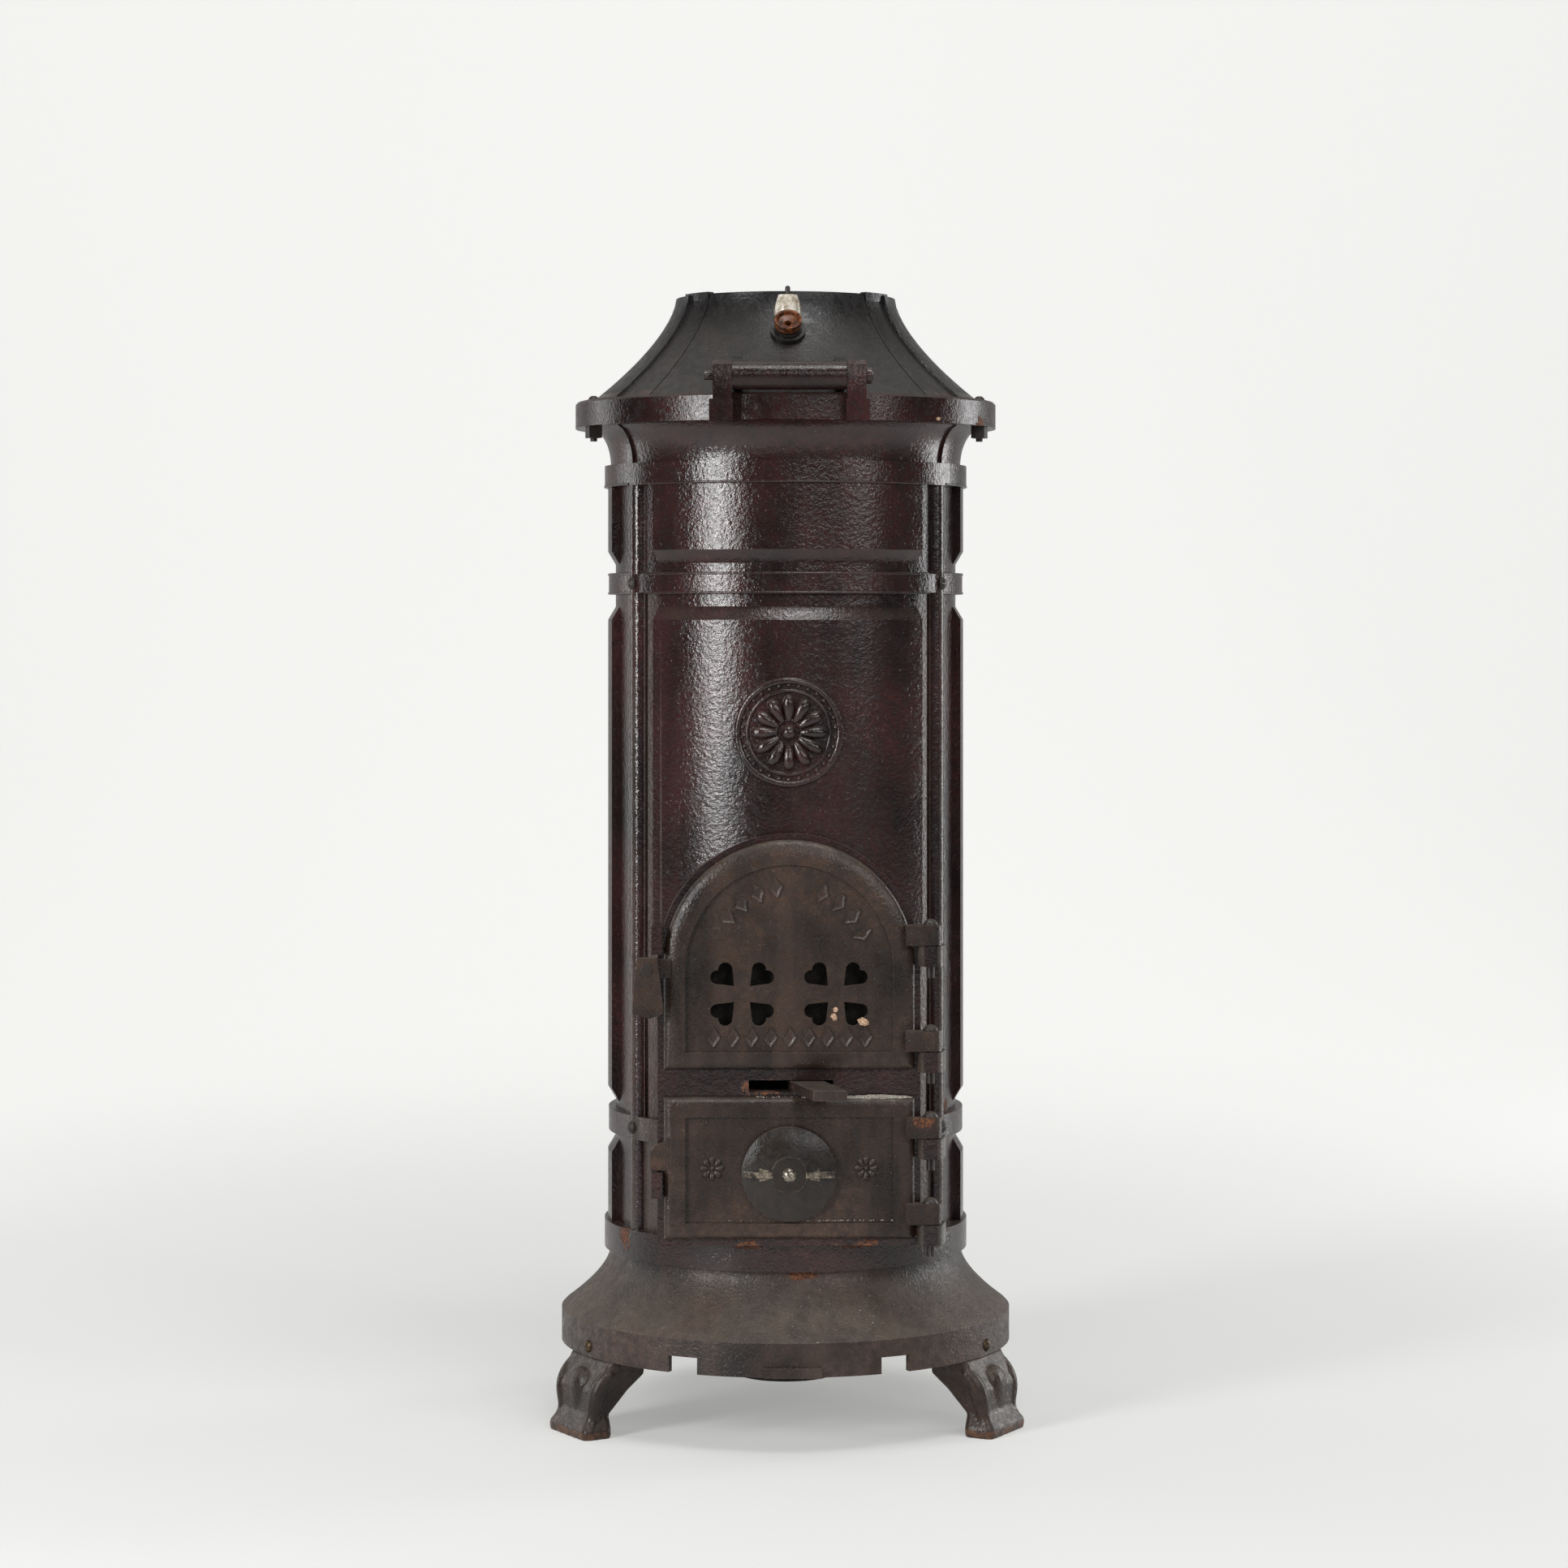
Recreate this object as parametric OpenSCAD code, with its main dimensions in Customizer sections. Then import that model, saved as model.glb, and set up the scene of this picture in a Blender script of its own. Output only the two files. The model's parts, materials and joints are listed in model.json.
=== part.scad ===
// Free-standing cast-iron column stove: three-foot base, three curved body
// panels, cornice, concave top with a fill door, fire door and ash door.
// Z is up, the floor is z = 0 and the doors face -Y.

/* [Body] */
// Radius of the body over its raised fields
body_r = 157.3; // [145:0.1:190]
// Height of the body panels
body_h = 688; // [640:1:830]
// Depth of the sunk ground beside the raised fields
recess_d = 6.8; // [4:0.1:8]
// Wall of the body panels behind the sunk ground
wall = 7.5; // [6:0.5:9]
// How far the top and bottom bands stand proud of the raised fields
band_proud = 2.9; // [1:0.1:5]
// Angle that the front panel spans
front_span = 124; // [118:1:128]
// Radius of the round bead along each seam
bead_r = 8.5; // [7:0.5:9]
// Open seam left between castings
seam = 0.4; // [0.3:0.1:0.6]

/* [Base] */
// Height of the feet, floor to the underside of the apron
foot_h = 65; // [58:1:85]
// Height of the upright apron of the base ring
apron_h = 31; // [25:1:35]
// How far the apron stands out from the body
apron_out = 40.7; // [35:0.1:49]
// Height of the flared part of the base ring
flare_h = 47; // [38:1:56]
// Height of the neck that carries the body
neck_h = 4; // [4:1:8]
// Wall of the base ring
base_wall = 6; // [5:0.5:7]
// Width of each notch in the lower edge of the apron
notch_w = 27; // [20:1:32]
// Height of each notch
notch_h = 14; // [10:1:18]
// Azimuth of the notches either side of the front
notch_a = 27; // [24:1:32]
// Height of the lowest point of the ash dish above the floor
dish_z = 32; // [28:1:45]

/* [Top] */
// Height of the hollow moulding under the flange
cove_h = 33; // [28:1:40]
// Height of the flange band
flange_h = 23; // [20:1:28]
// How far the flange stands out from the body
flange_out = 28.7; // [24:0.1:34]
// Height of the concave top above the flange
cone_h = 92; // [85:1:110]
// Radius of the open rim at the top
rim_r = 97; // [90:1:105]
// Wall of the top and its fill door
cone_wall = 6; // [5:0.5:7]
// Half angle of the fill door opening
fill_half = 44; // [38:1:47]
// Gap around the fill door
fill_gap = 1.2; // [1:0.1:1.8]

/* [Doors] */
// Width of the fire door and of the ash door
door_w = 212; // [180:1:214]
// Thickness of both doors
door_t = 9; // [8:0.5:10]
// Height of the straight sides of the fire door
fire_straight = 88; // [80:1:105]
// Height of the ash door
ash_h = 120; // [105:1:130]
// Height of the ash door's lower edge above the body's foot
ash_sill = 30; // [28:1:40]
// Height of the cross bar between the two doors
bar_h = 23; // [20:1:28]
// Width of the flat border round each door's sunk field
border = 18.5; // [14:0.5:22]
// Depth of the sunk field
field_d = 3; // [2:0.5:4]
// How far the door frame stands out in front of the body
frame_out = 10.7; // [8:0.1:16]
// Wall of the door frame
frame_wall = 10; // [8:0.5:12]
// Width of the seat that each door closes on
seat_w = 17; // [12:1:20]
// Gap between a closed door and its frame
door_gap = 0.3; // [0.3:0.1:0.6]
// Radius of the leaf holes in the fire door, lobe by lobe
lobe_r = 6; // [4:0.5:6.5]
// Diameter of the draught disc
disc_d = 80; // [60:1:84]

/* [Hinges] */
// Radius of the door hinge pins
pin_r = 3.4; // [2.5:0.1:4]
// Radial clearance round a pin or shaft that turns
run_fit = 0.08; // [0.05:0.01:0.1]
// Radius of the knuckles on the doors
knuckle_r = 9.5; // [8:0.5:10]
// Height of one knuckle
knuckle_h = 17; // [14:1:18]
// Gap between knuckles that turn on each other
knuckle_gap = 0.6; // [0.4:0.1:1]
// Radius of the fill door's hinge barrel
barrel_r = 12; // [10:0.5:12.5]
// Length of that barrel
barrel_w = 96; // [80:1:110]
// Radius of the fill door's hinge pin
fill_pin_r = 4; // [3:0.5:5]

/* [Inside] */
// Radius of the grate
grate_r = 116; // [108:1:117]
// Thickness of the grate
grate_t = 11; // [8:1:12]
// Thickness of the firebricks
brick_t = 17; // [12:1:18]
// Height of the firebricks
brick_h = 240; // [180:1:260]
// Width of the shaker lever
lever_w = 28; // [22:1:30]
// Thickness of the shaker lever
lever_t = 8.5; // [6:0.5:8.5]
// Width of the ash pan
pan_w = 150; // [120:1:156]
// Height of the ash pan
pan_h = 52; // [40:1:60]

/* [Flue] */
// Outer radius of the flue spigot
flue_r = 60; // [50:1:66]
// Wall of the flue spigot
flue_wall = 5.5; // [4:0.5:7]
// Height of the spigot's centre above the body's foot
flue_up = 476; // [440:1:490]
// Distance from the stove's axis to the end of the spigot and of the lever
reach = 238; // [230:1:260]

/* [Screws] */
// Radius of the screw shanks
screw_r = 3; // [2.5:0.5:3.5]
// Radius of the screw heads
head_r = 5.6; // [5:0.1:6.5]
// Clearance round a shank in its hole
screw_fit = 0.1; // [0.05:0.05:0.2]

/* [Hidden] */
$fn = 96;
eps = 0.01;
lap = 1;                 // overlap where one casting's own shapes join
touch = 0.3;             // gap between bodies that slide on each other

// Heights, from the floor up
apron_top = foot_h + apron_h;
flare_top = apron_top + flare_h;
body_z = flare_top + neck_h;
body_top = body_z + body_h;
cove_top = body_top + cove_h;
flange_top = cove_top + flange_h;
rim_z = flange_top + cone_h;

// Radii
recess_r = body_r - recess_d;
inner_r = recess_r - wall;
band_r = body_r + band_proud;
small_band_r = body_r - 0.7;
apron_r = body_r + apron_out;
neck_r = body_r - 1.8;
cove_r = body_r - 2.5;
flange_r = body_r + flange_out;
cone_foot_r = flange_r - 14;
flange_skirt = 6;        // wall of the flange's skirt
lip_r = inner_r - 0.5;   // locating lips inside the panels
strip_t = 5;
strip_r = inner_r - touch;
lining_r = strip_r - strip_t - 1;

// Bands and raised fields of the body, measured from its foot
band_low = 25;
low_rail = [103, 123];
mid_rail = [body_h - 112, body_h - 96];
band_top = body_h - 19;
bevel = 11.5;            // sloping edge of a raised field
field_low = [band_low, low_rail[0] - 6];
field_long = [low_rail[1] + 7, mid_rail[0] - 12];
field_high = [mid_rail[1] + 9, band_top];
field_edge = 14.5;       // angle from a panel's edge to its raised fields
groove_w = 4;
groove_d = 3;
bead_a = front_span / 2 - asin(bead_r / (body_r - bead_r)) + 0.05;
groove_a = bead_a - 4.8; // azimuth of the shadow groove beside each bead
seam_a = asin(seam / 2 / inner_r);

// Doors, in front view x and z
ash_z0 = body_z + ash_sill;
ash_z1 = ash_z0 + ash_h;
fire_z0 = ash_z1 + bar_h;
arch_z = fire_z0 + fire_straight;
door_half = door_w / 2;
frame_y = -(body_r + frame_out);
door_back = frame_y - door_gap;
door_front = door_back - door_t;
frame_half = door_half + 5;
core_half = frame_half - frame_wall;
open_half = door_half - seat_w;
plate_t = 8;             // front plate of the door frame
roll_d = door_t - 2.5;   // depth of the rolled edge round each door
fire_roll = border - 4;  // its width on the fire door
ash_roll = border * 0.4; // its width on the ash door

// Door hinge line
pin_x = door_half + 13;
pin_y = frame_y - knuckle_r - 0.7;
frame_knuckle_r = knuckle_r + 1.5;
bore_r = pin_r + run_fit;
// each pair is the foot of the frame's knuckle and the foot of the door's
fire_knuckles = [fire_z0 - 1, arch_z];
ash_knuckles = [ash_z0 - 3.5, ash_z1 - 51];
tail_h = 10;             // split tail of each hinge pin, below the frame's knuckle
dome_h = 5;

// Fire door latch
latch_x = -(door_half + 14);
latch_z = arch_z - 2;
latch_r = 3;
latch_front = door_front - 6;
latch_t = 7;
keeper_w = 9;            // keepers stand out from the frame's left side
keeper_y = frame_y + 28; // where they run back to

// Fill door hinge
fill_y = -(flange_r - 4);
fill_z = flange_top + 14;
post_t = 16;
fill_wall = cone_wall - 2;       // the fill door is thinner, to seat on its rebate
fill_pin_reach = barrel_w / 2 + knuckle_gap + post_t + 6;

// Grate and lever
lever_z = ash_z1 + 4.5;
shelf_t = 3;             // floor of the grate's notch, under the lever
grate_z = lever_z - 0.1 - shelf_t;
ring_top = grate_z - touch;
ring_t = 8.5;
ring_z = ring_top - ring_t;
brick_in = lining_r - brick_t;
brick_a = asin(core_half / brick_in);
brick_count = 5;
brick_span = (360 - 2 * brick_a) / brick_count;
ring_in = grate_r - 12;  // bore of the ring under the grate
bar_pitch = 22;          // the grate's bars and the slots between them
bar_slot = 8;
slot_x = [-34, 37];
slot_gap = 0.75;
lever_root = grate_r - 30;
// centre line of the lever, from its root in the grate to its tip
lever_path = [[10, -lever_root], [15, frame_y + 3], [33, -reach]];
lever_bolt_at = [lever_path[0] + [-8, -10], lever_path[0] + [9, -11]];
ash_floor_z = ash_z0 + 2;
floor_t = 5;
pan_wall = 2;
pan_room = 17;           // room in front of and behind the ash pan
lug_h = 10;
lug_angles = [100, 150];

// Flue
flue_z = body_z + flue_up;
flue_bore = flue_r - flue_wall;
flue_stop = 5;           // how far the pipe's shoulder stands out from the spigot
saddle_r = flue_r + 20;
saddle_t = 6;
flue_bolt_at = (flue_r + flue_stop + saddle_r) / 2 / sqrt(2);
flue_bolt_a = asin(flue_bolt_at / body_r);
saddle_in = body_r + 0.2;
stop_y = saddle_in + saddle_t + 4;   // shoulder that the flue pipe is pushed up to

// Screws and bolts
foot_screw_z = foot_h + 9;
hole_r = screw_r + screw_fit;
rear_bead_a = -(180 - (front_span / 2 - bead_a));
rail_zs = [body_z + (low_rail[0] + low_rail[1]) / 2, body_z + (mid_rail[0] + mid_rail[1]) / 2];
flange_bolt_at = flange_r - 9;
flange_bolts_a = [-72, 72, -168, 168];
plate_z = flange_top - 12;   // underside of the top's plate, on the cornice
cove_out = 20;               // how far the hollow moulding flares
cove_wall = 7;
rib_half = 1.6;              // half angle of the ribs on the cornice and the top
rib_azimuths = [-60, 60, 180];
foot_azimuths = [-60, 60, 180];
ledge_r = lip_r - 14;        // inner edge of the ledge that carries the ash dish
disc_z = ash_z0 + 56;
disc_y = door_front;
disc_t = 9.8;
draught_r = 4;
knob_z = flange_top + 55;
knob_tilt = 42;          // how far the knob leans up
stud_r = 2.25;
stud_at = cone_at(0.88) + stud_r; // the stud's distance from the stove's axis
knob_r = 11.8;           // radius of the cup and of the china's foot
cup_rim = 16;            // rim of the cup in front of the knob's seat
shell_at = stud_at + 4.5; // the china's own upright axis
shell_foot = 12;         // foot of the china above the knob's seat

// Baffle behind the fire door
baffle_half = open_half - 8;
baffle_screw_at = [[9 - baffle_half, fire_z0 + 32], [baffle_half - 9, fire_z0 + 32],
    [0, arch_z + baffle_half - 29]];
baffle_off = 11;
baffle_t = 3;

// Azimuth 0 is the front (-Y) and it grows towards +X.
module at(azimuth) rotate([0, 0, azimuth]) children();
module sector(a0, a1) rotate([0, 0, a0 - 90]) rotate_extrude(angle = a1 - a0) children();
// A solid whose local +Z points outwards from the stove's axis, at a radius and height
module outward(azimuth, radius, z)
    rotate([0, 0, azimuth]) translate([0, -radius, z]) rotate([90, 0, 0]) children();
// A plate drawn in front view (x, z) between two depths
module front_plate(y0, y1)
    translate([0, y1, 0]) rotate([90, 0, 0]) linear_extrude(y1 - y0) children();
module arch(half, z0, zc) {
    translate([-half, z0]) square([2 * half, zc - z0]);
    translate([0, zc]) intersection() {
        circle(half);
        translate([-half, -lap]) square([2 * half, half + lap]);
    }
}
module block(half, z0, z1) translate([-half, z0]) square([2 * half, z1 - z0]);
module upright(x, y, z0, z1, r) translate([x, y, z0]) cylinder(r = r, h = z1 - z0);

// A domed screw head standing on z = 0, with its slot
module dome_head(r, h) difference() {
    rotate_extrude() intersection() {
        translate([0, h - (r * r + h * h) / (2 * h)]) circle((r * r + h * h) / (2 * h));
        square([r, h]);
    }
    translate([-r, -0.6, h * 0.55]) cube([2 * r, 1.2, h]);
}
module screw(r, length, hr, hh) {
    dome_head(hr, hh);
    translate([0, 0, -length]) cylinder(r = r, h = length + eps);
}

// ---------- base ----------
function flare_r(t) = neck_r + (apron_r - 2.5 - neck_r) * pow(t, 1.6);
module base_ring() color([0.36, 0.34, 0.32]) difference() {
    union() {
        rotate_extrude() polygon(concat(
            [[neck_r, body_z]],
            [for (i = [0:12]) [flare_r(i / 12), flare_top - flare_h * i / 12]],
            [[apron_r, apron_top - 2.5], [apron_r, foot_h],
             [apron_r - base_wall, foot_h], [apron_r - base_wall, apron_top - 7]],
            [for (i = [11:-1:1])
                [flare_r(i / 12) - base_wall, flare_top - base_wall - flare_h * i / 12]],
            [[neck_r - base_wall, flare_top - base_wall], [ledge_r, flare_top - base_wall],
             [ledge_r, flare_top], [lip_r - 5, flare_top], [lip_r - 5, body_z + 6],
             [lip_r, body_z + 6], [lip_r, body_z]]));
        // tab on the front of the apron's lower edge
        translate([-22, -apron_r - 4, foot_h]) cube([49, 4 + base_wall, 8]);
    }
    for (s = [-1, 1]) at(s * notch_a) translate([-notch_w / 2, -apron_r - lap, foot_h - lap])
        cube([notch_w, 3 * base_wall, notch_h + lap]);
    for (a = foot_azimuths) outward(a, apron_r - 2 * base_wall, foot_screw_z)
        cylinder(r = hole_r, h = 3 * base_wall);
}
module ash_dish() color([0.2, 0.18, 0.17]) rotate_extrude() polygon([
    [0, dish_z], [44, dish_z], [ledge_r - touch, flare_top - 12], [ledge_r - touch, flare_top],
    [lip_r - 5 - touch, flare_top], [lip_r - 5 - touch, flare_top + 3],
    [ledge_r - 6, flare_top + 3], [ledge_r - 6, flare_top - 11], [41, dish_z + 5],
    [0, dish_z + 5]]);

// Rounded slab of a foot between two radii, half a width each side
module slab(u0, u1, half, z, h) for (x = [6 - half, half - 6], u = [u0 + 6, u1 - 6])
    translate([x, -u, z]) cylinder(r = 6, h = h, $fn = 24);
// Slabs of a foot, from its seat under the apron down to its toe
module foot_seat() slab(apron_r - 36, apron_r - 2, 38, foot_h - 12, 12);
module foot_bulge() slab(apron_r - 24, apron_r + 13, 31, foot_h * 0.6, 2);
module foot_waist() slab(apron_r - 7, apron_r + 14, 27, foot_h * 0.28, 2);
module foot_toe() slab(apron_r - 6, apron_r + 22, 34, 0, 8);
module foot(azimuth) {
    lug_half = 20;
    lug_face = sqrt(pow(apron_r - base_wall, 2) - lug_half * lug_half) - touch;
    color([0.3, 0.26, 0.23]) at(azimuth) difference() {
        union() {
            hull() { foot_seat(); foot_bulge(); }
            hull() { foot_bulge(); foot_waist(); }
            hull() { foot_waist(); foot_toe(); }
            // lug that the screw holds against the inside of the apron
            translate([-lug_half, -lug_face, foot_h - lap]) cube([2 * lug_half, 9, 20 + lap]);
        }
        translate([0, 0, foot_screw_z]) rotate([90, 0, 0]) cylinder(r = hole_r, h = apron_r);
    }
}
module foot_left() foot(-60);
module foot_right() foot(60);
module foot_rear() foot(180);
module foot_screws() color([0.5, 0.42, 0.28]) for (a = foot_azimuths)
    outward(a, apron_r, foot_screw_z) screw(screw_r, base_wall + 9, head_r, 3.5);

// ---------- body panels ----------
module ring_part(a0, a1, r, z0, z1)
    sector(a0, a1) translate([inner_r, z0]) square([r - inner_r, z1 - z0]);
module field(a0, a1, z0, z1) sector(a0, a1) polygon([
    [recess_r - lap, z0], [recess_r, z0], [body_r, z0 + bevel],
    [body_r, z1 - bevel], [recess_r, z1], [recess_r - lap, z1]]);
module panel_skin(a0, a1) {
    ring_part(a0, a1, recess_r, body_z, body_top);
    ring_part(a0, a1, band_r, body_z, body_z + band_low);
    ring_part(a0, a1, band_r, body_z + band_top, body_top);
    for (rail = [low_rail, mid_rail])
        ring_part(a0, a1, small_band_r, body_z + rail[0], body_z + rail[1]);
    field(a0 + field_edge, a1 - field_edge, body_z + field_high[0], body_z + field_high[1] + bevel);
}
module bead(azimuth) at(azimuth)
    upright(0, -(body_r - bead_r + 0.1), body_z + band_low - lap, body_z + band_top + lap, bead_r);
module screw_holes(azimuth, zs) for (z = zs)
    outward(azimuth, strip_r - strip_t - 3, z) cylinder(r = hole_r, h = 36);
module flue_hole() translate([0, 0, flue_z]) rotate([-90, 0, 0]) cylinder(r = flue_bore, h = 2 * reach);
module side_panel(a0, a1, lug_side) difference() {
    union() {
        panel_skin(a0, a1);
        field(a0 + field_edge, a1 - field_edge, body_z + field_long[0], body_z + field_long[1]);
        field(a0 + field_edge, a1 - field_edge, body_z + field_low[0] - bevel, body_z + field_low[1]);
        for (a = lug_angles, z = [ring_z, ash_floor_z]) at(lug_side * a)
            translate([-9, -inner_r - 2, z - lug_h]) cube([18, inner_r - lining_r + 12, lug_h]);
    }
    flue_hole();
    for (s = [-1, 1], z = [-1, 1])
        outward(180 + s * flue_bolt_a, inner_r - 9, flue_z + z * flue_bolt_at)
            cylinder(r = hole_r, h = 30);
}
module left_panel() color([0.24, 0.19, 0.19]) difference() {
    union() {
        side_panel(-180 + seam_a, -front_span / 2 - seam_a, -1);
        intersection() {
            bead(rear_bead_a);
            difference() {
                ring_part(-180 + seam_a, -150, band_r, body_z, body_top);
                flue_hole();
            }
        }
    }
    screw_holes(rear_bead_a, rail_zs);
}
module right_panel() color([0.24, 0.19, 0.19])
    side_panel(front_span / 2 + seam_a, 180 - seam_a, 1);

// Hinge knuckle of the door frame, with its bracket back to the frame's side
module frame_knuckle(z) {
    upright(pin_x, pin_y, z, z + knuckle_h, frame_knuckle_r);
    translate([0, 0, z]) linear_extrude(knuckle_h) polygon([
        [pin_x - frame_knuckle_r, pin_y], [pin_x - 5.5, pin_y + 0.2 - frame_knuckle_r],
        [pin_x + 4, pin_y + 0.2 - frame_knuckle_r], [pin_x + 4, pin_y], [pin_x + frame_knuckle_r, pin_y],
        [pin_x + frame_knuckle_r + 3, pin_y + 18], [pin_x, pin_y + 38],
        [frame_half - 5, pin_y + 38], [frame_half - 5, frame_y + eps],
        [pin_x - frame_knuckle_r, frame_y + eps]]);
}
module keeper(z, h) translate([-frame_half - 5, door_front - 5, z])
    cube([keeper_w, keeper_y - door_front + 5, h]);
module front_panel() color([0.25, 0.19, 0.18]) difference() {
    union() {
        difference() {
            union() {
                panel_skin(-front_span / 2, front_span / 2);
                field(-front_span / 2 + field_edge, front_span / 2 - field_edge,
                    arch_z + 5, body_z + field_long[1]);
                for (s = [-1, 1]) bead(s * bead_a);
                front_plate(frame_y, -inner_r / 2) arch(frame_half, ash_z0 - 6, arch_z);
            }
            translate([0, 0, body_z - lap]) cylinder(r = inner_r, h = body_h + 2 * lap);
            front_plate(frame_y + plate_t, 0) arch(core_half, fire_z0 + 2, arch_z);
            front_plate(frame_y + plate_t, 0) block(core_half, ash_z0 + 4, ash_z1);
            front_plate(frame_y - lap, 0) arch(open_half, fire_z0 + seat_w - 3, arch_z);
            front_plate(frame_y - lap, 0) block(open_half, ash_z0 + seat_w, ash_z1 - seat_w);
            // slot for the shaker lever
            translate([slot_x[0], frame_y - lap, lever_z - slot_gap])
                cube([slot_x[1] - slot_x[0], body_r, lever_t + 2 * slot_gap]);
        }
        for (z = concat(fire_knuckles, ash_knuckles)) frame_knuckle(z);
        // keepers for the fire door's latch and the ash door's ear
        keeper(latch_z + 12, 23);
        keeper(disc_z - 20, 21.5);
    }
    for (z = concat(fire_knuckles, ash_knuckles))
        upright(pin_x, pin_y, z - lap, z + knuckle_h + lap, bore_r);
    for (s = [-1, 1]) screw_holes(s * bead_a, rail_zs);
    // shadow groove inside each bead
    for (s = [-1, 1]) at(s * groove_a)
        translate([-groove_w / 2, -recess_r - lap, body_z + low_rail[1]])
            cube([groove_w, groove_d + lap, mid_rail[0] - low_rail[1]]);
}

module seam_strip(azimuth, z0, z1) difference() {
    half_a = asin(13 / strip_r);
    sector(azimuth - half_a, azimuth + half_a)
        translate([strip_r - strip_t, z0]) square([strip_t, z1 - z0]);
    children();
}
module seam_strip_left() color([0.2, 0.17, 0.16])
    seam_strip(-front_span / 2, body_z + 9, body_top - 9) screw_holes(-bead_a, rail_zs);
module seam_strip_right() color([0.2, 0.17, 0.16])
    seam_strip(front_span / 2, body_z + 9, body_top - 9) screw_holes(bead_a, rail_zs);
module seam_strip_rear() color([0.2, 0.17, 0.16]) {
    seam_strip(180, body_z + 9, flue_z - saddle_r - 4) screw_holes(rear_bead_a, rail_zs);
    seam_strip(180, flue_z + saddle_r + 4, body_top - 9) screw_holes(rear_bead_a, rail_zs);
}
module panel_screws() color([0.3, 0.26, 0.24]) for (a = [-bead_a, bead_a, rear_bead_a], z = rail_zs)
    outward(a, body_r + 0.2, z) screw(screw_r, body_r - strip_r + strip_t + 2, head_r, 3.5);

// ---------- cornice and top ----------
// The hollow stops just short of the quarter circle, clear of the flange nuts
function cove_at(t) = cove_r + cove_out * (1 - sqrt(1 - pow(0.97 * t, 2)));
function cove_side(shift, first, last, step) =
    [for (i = [first:step:last]) [cove_at(i / 10) + shift, body_top + cove_h * i / 10]];
module cornice() color([0.24, 0.2, 0.19]) difference() {
    union() {
        // hollow moulding, its bolting flange above and its locating lip below
        rotate_extrude() polygon(concat(cove_side(0, 0, 10, 1),
            [[flange_r - flange_skirt - touch, cove_top],
             [flange_r - flange_skirt - touch, plate_z],
             [cove_at(1) - 2 * cove_wall, plate_z]],
            cove_side(-cove_wall, 8, 2, -1),
            [[lip_r - 6, body_top + 5], [lip_r - 6, body_top - 6],
             [lip_r, body_top - 6], [lip_r, body_top]]));
        for (a = rib_azimuths) sector(a - rib_half, a + rib_half)
            polygon(concat(cove_side(2.5, 0, 10, 1), cove_side(-3, 10, 0, -1)));
    }
    for (a = flange_bolts_a) at(a) upright(0, -flange_bolt_at, cove_top - lap, plate_z + lap, hole_r);
}
// Radius of the top's outer surface, t = 0 at its foot and 1 at its rim
function cone_at(t) = rim_r + (cone_foot_r - rim_r) * pow(1 - t, 1.55);
module cone_line(proud, depth, t0 = -lap / cone_h, t1 = 1) polygon(concat(
    [for (i = [0:14]) let (t = t0 + (t1 - t0) * i / 14) [cone_at(t) + proud, flange_top + cone_h * t]],
    [for (i = [14:-1:0]) let (t = t0 + (t1 - t0) * i / 14) [cone_at(t) - depth, flange_top + cone_h * t]]));
module side_plate(x0, x1) translate([x0, 0, 0]) rotate([90, 0, 90]) linear_extrude(x1 - x0) children();
// Post that carries one end of the fill door's pin
module hinge_post(side) {
    x0 = barrel_w / 2 + knuckle_gap;
    front = fill_y - 10;
    mirror([side < 0 ? 1 : 0, 0, 0]) {
        side_plate(x0, x0 + post_t) polygon([[front + 3, cove_top - 1], [front, fill_z],
            [front + 2, fill_z + 9], [front + 6, fill_z + 13], [front + 15, fill_z + 13],
            [front + 20, fill_z + 6], [front + 22, flange_top - 2], [front + 22, cove_top - 1]]);
        side_plate(x0 - 1, x0 + post_t + 3) polygon([[front + 3, cove_top - 1],
            [front + 1.5, flange_top - 6], [front + 22, flange_top - 6], [front + 22, cove_top - 1]]);
    }
}
module top_cone() color([0.27, 0.26, 0.26]) difference() {
    union() {
        sector(fill_half, 360 - fill_half) cone_line(0, cone_wall);
        // plate and skirt that cap the cornice
        rotate_extrude() polygon([[cone_foot_r - 18, plate_z], [flange_r - flange_skirt, plate_z],
            [flange_r - flange_skirt, cove_top], [flange_r, cove_top], [flange_r, flange_top - 2],
            [flange_r - 2, flange_top], [cone_foot_r - 18, flange_top]]);
        for (a = rib_azimuths) sector(a - rib_half, a + rib_half) cone_line(3.5, 1);
        for (s = [-1, 1]) {
            // raised pad on the rim beside the fill door
            sector(s > 0 ? fill_half : -64, s > 0 ? 64 : -fill_half)
                translate([rim_r - cone_wall + lap, rim_z - 6]) square([cone_wall + 0.5, 7.5]);
            // rebate that the closed fill door leans on
            sector(s > 0 ? fill_half - 2.2 : -fill_half - 2, s > 0 ? fill_half + 2 : -fill_half + 2.2)
                cone_line(-fill_wall - 0.4, cone_wall + 3, 0.35, 0.97);
            hinge_post(s);
        }
    }
    // room for the cornice's flange, inside the skirt
    upright(0, 0, cove_top - lap - eps, plate_z, flange_r - flange_skirt);
    translate([-fill_pin_reach, fill_y, fill_z]) rotate([0, 90, 0])
        cylinder(r = fill_pin_r + run_fit, h = 2 * fill_pin_reach);
    for (a = flange_bolts_a) at(a) upright(0, -flange_bolt_at, plate_z - lap, flange_top + lap, hole_r);
}
module flange_bolts() color([0.22, 0.2, 0.2]) for (a = flange_bolts_a) at(a)
    translate([0, -flange_bolt_at, flange_top]) screw(screw_r, flange_top - cove_top + 13, 5, 4);
module flange_nuts() color([0.22, 0.2, 0.2]) for (a = flange_bolts_a) at(a)
    difference() {
        translate([-6, -flange_bolt_at - 6, cove_top - 10]) cube([12, 12, 10]);
        upright(0, -flange_bolt_at, cove_top - 11, cove_top + lap, hole_r);
    }

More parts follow.
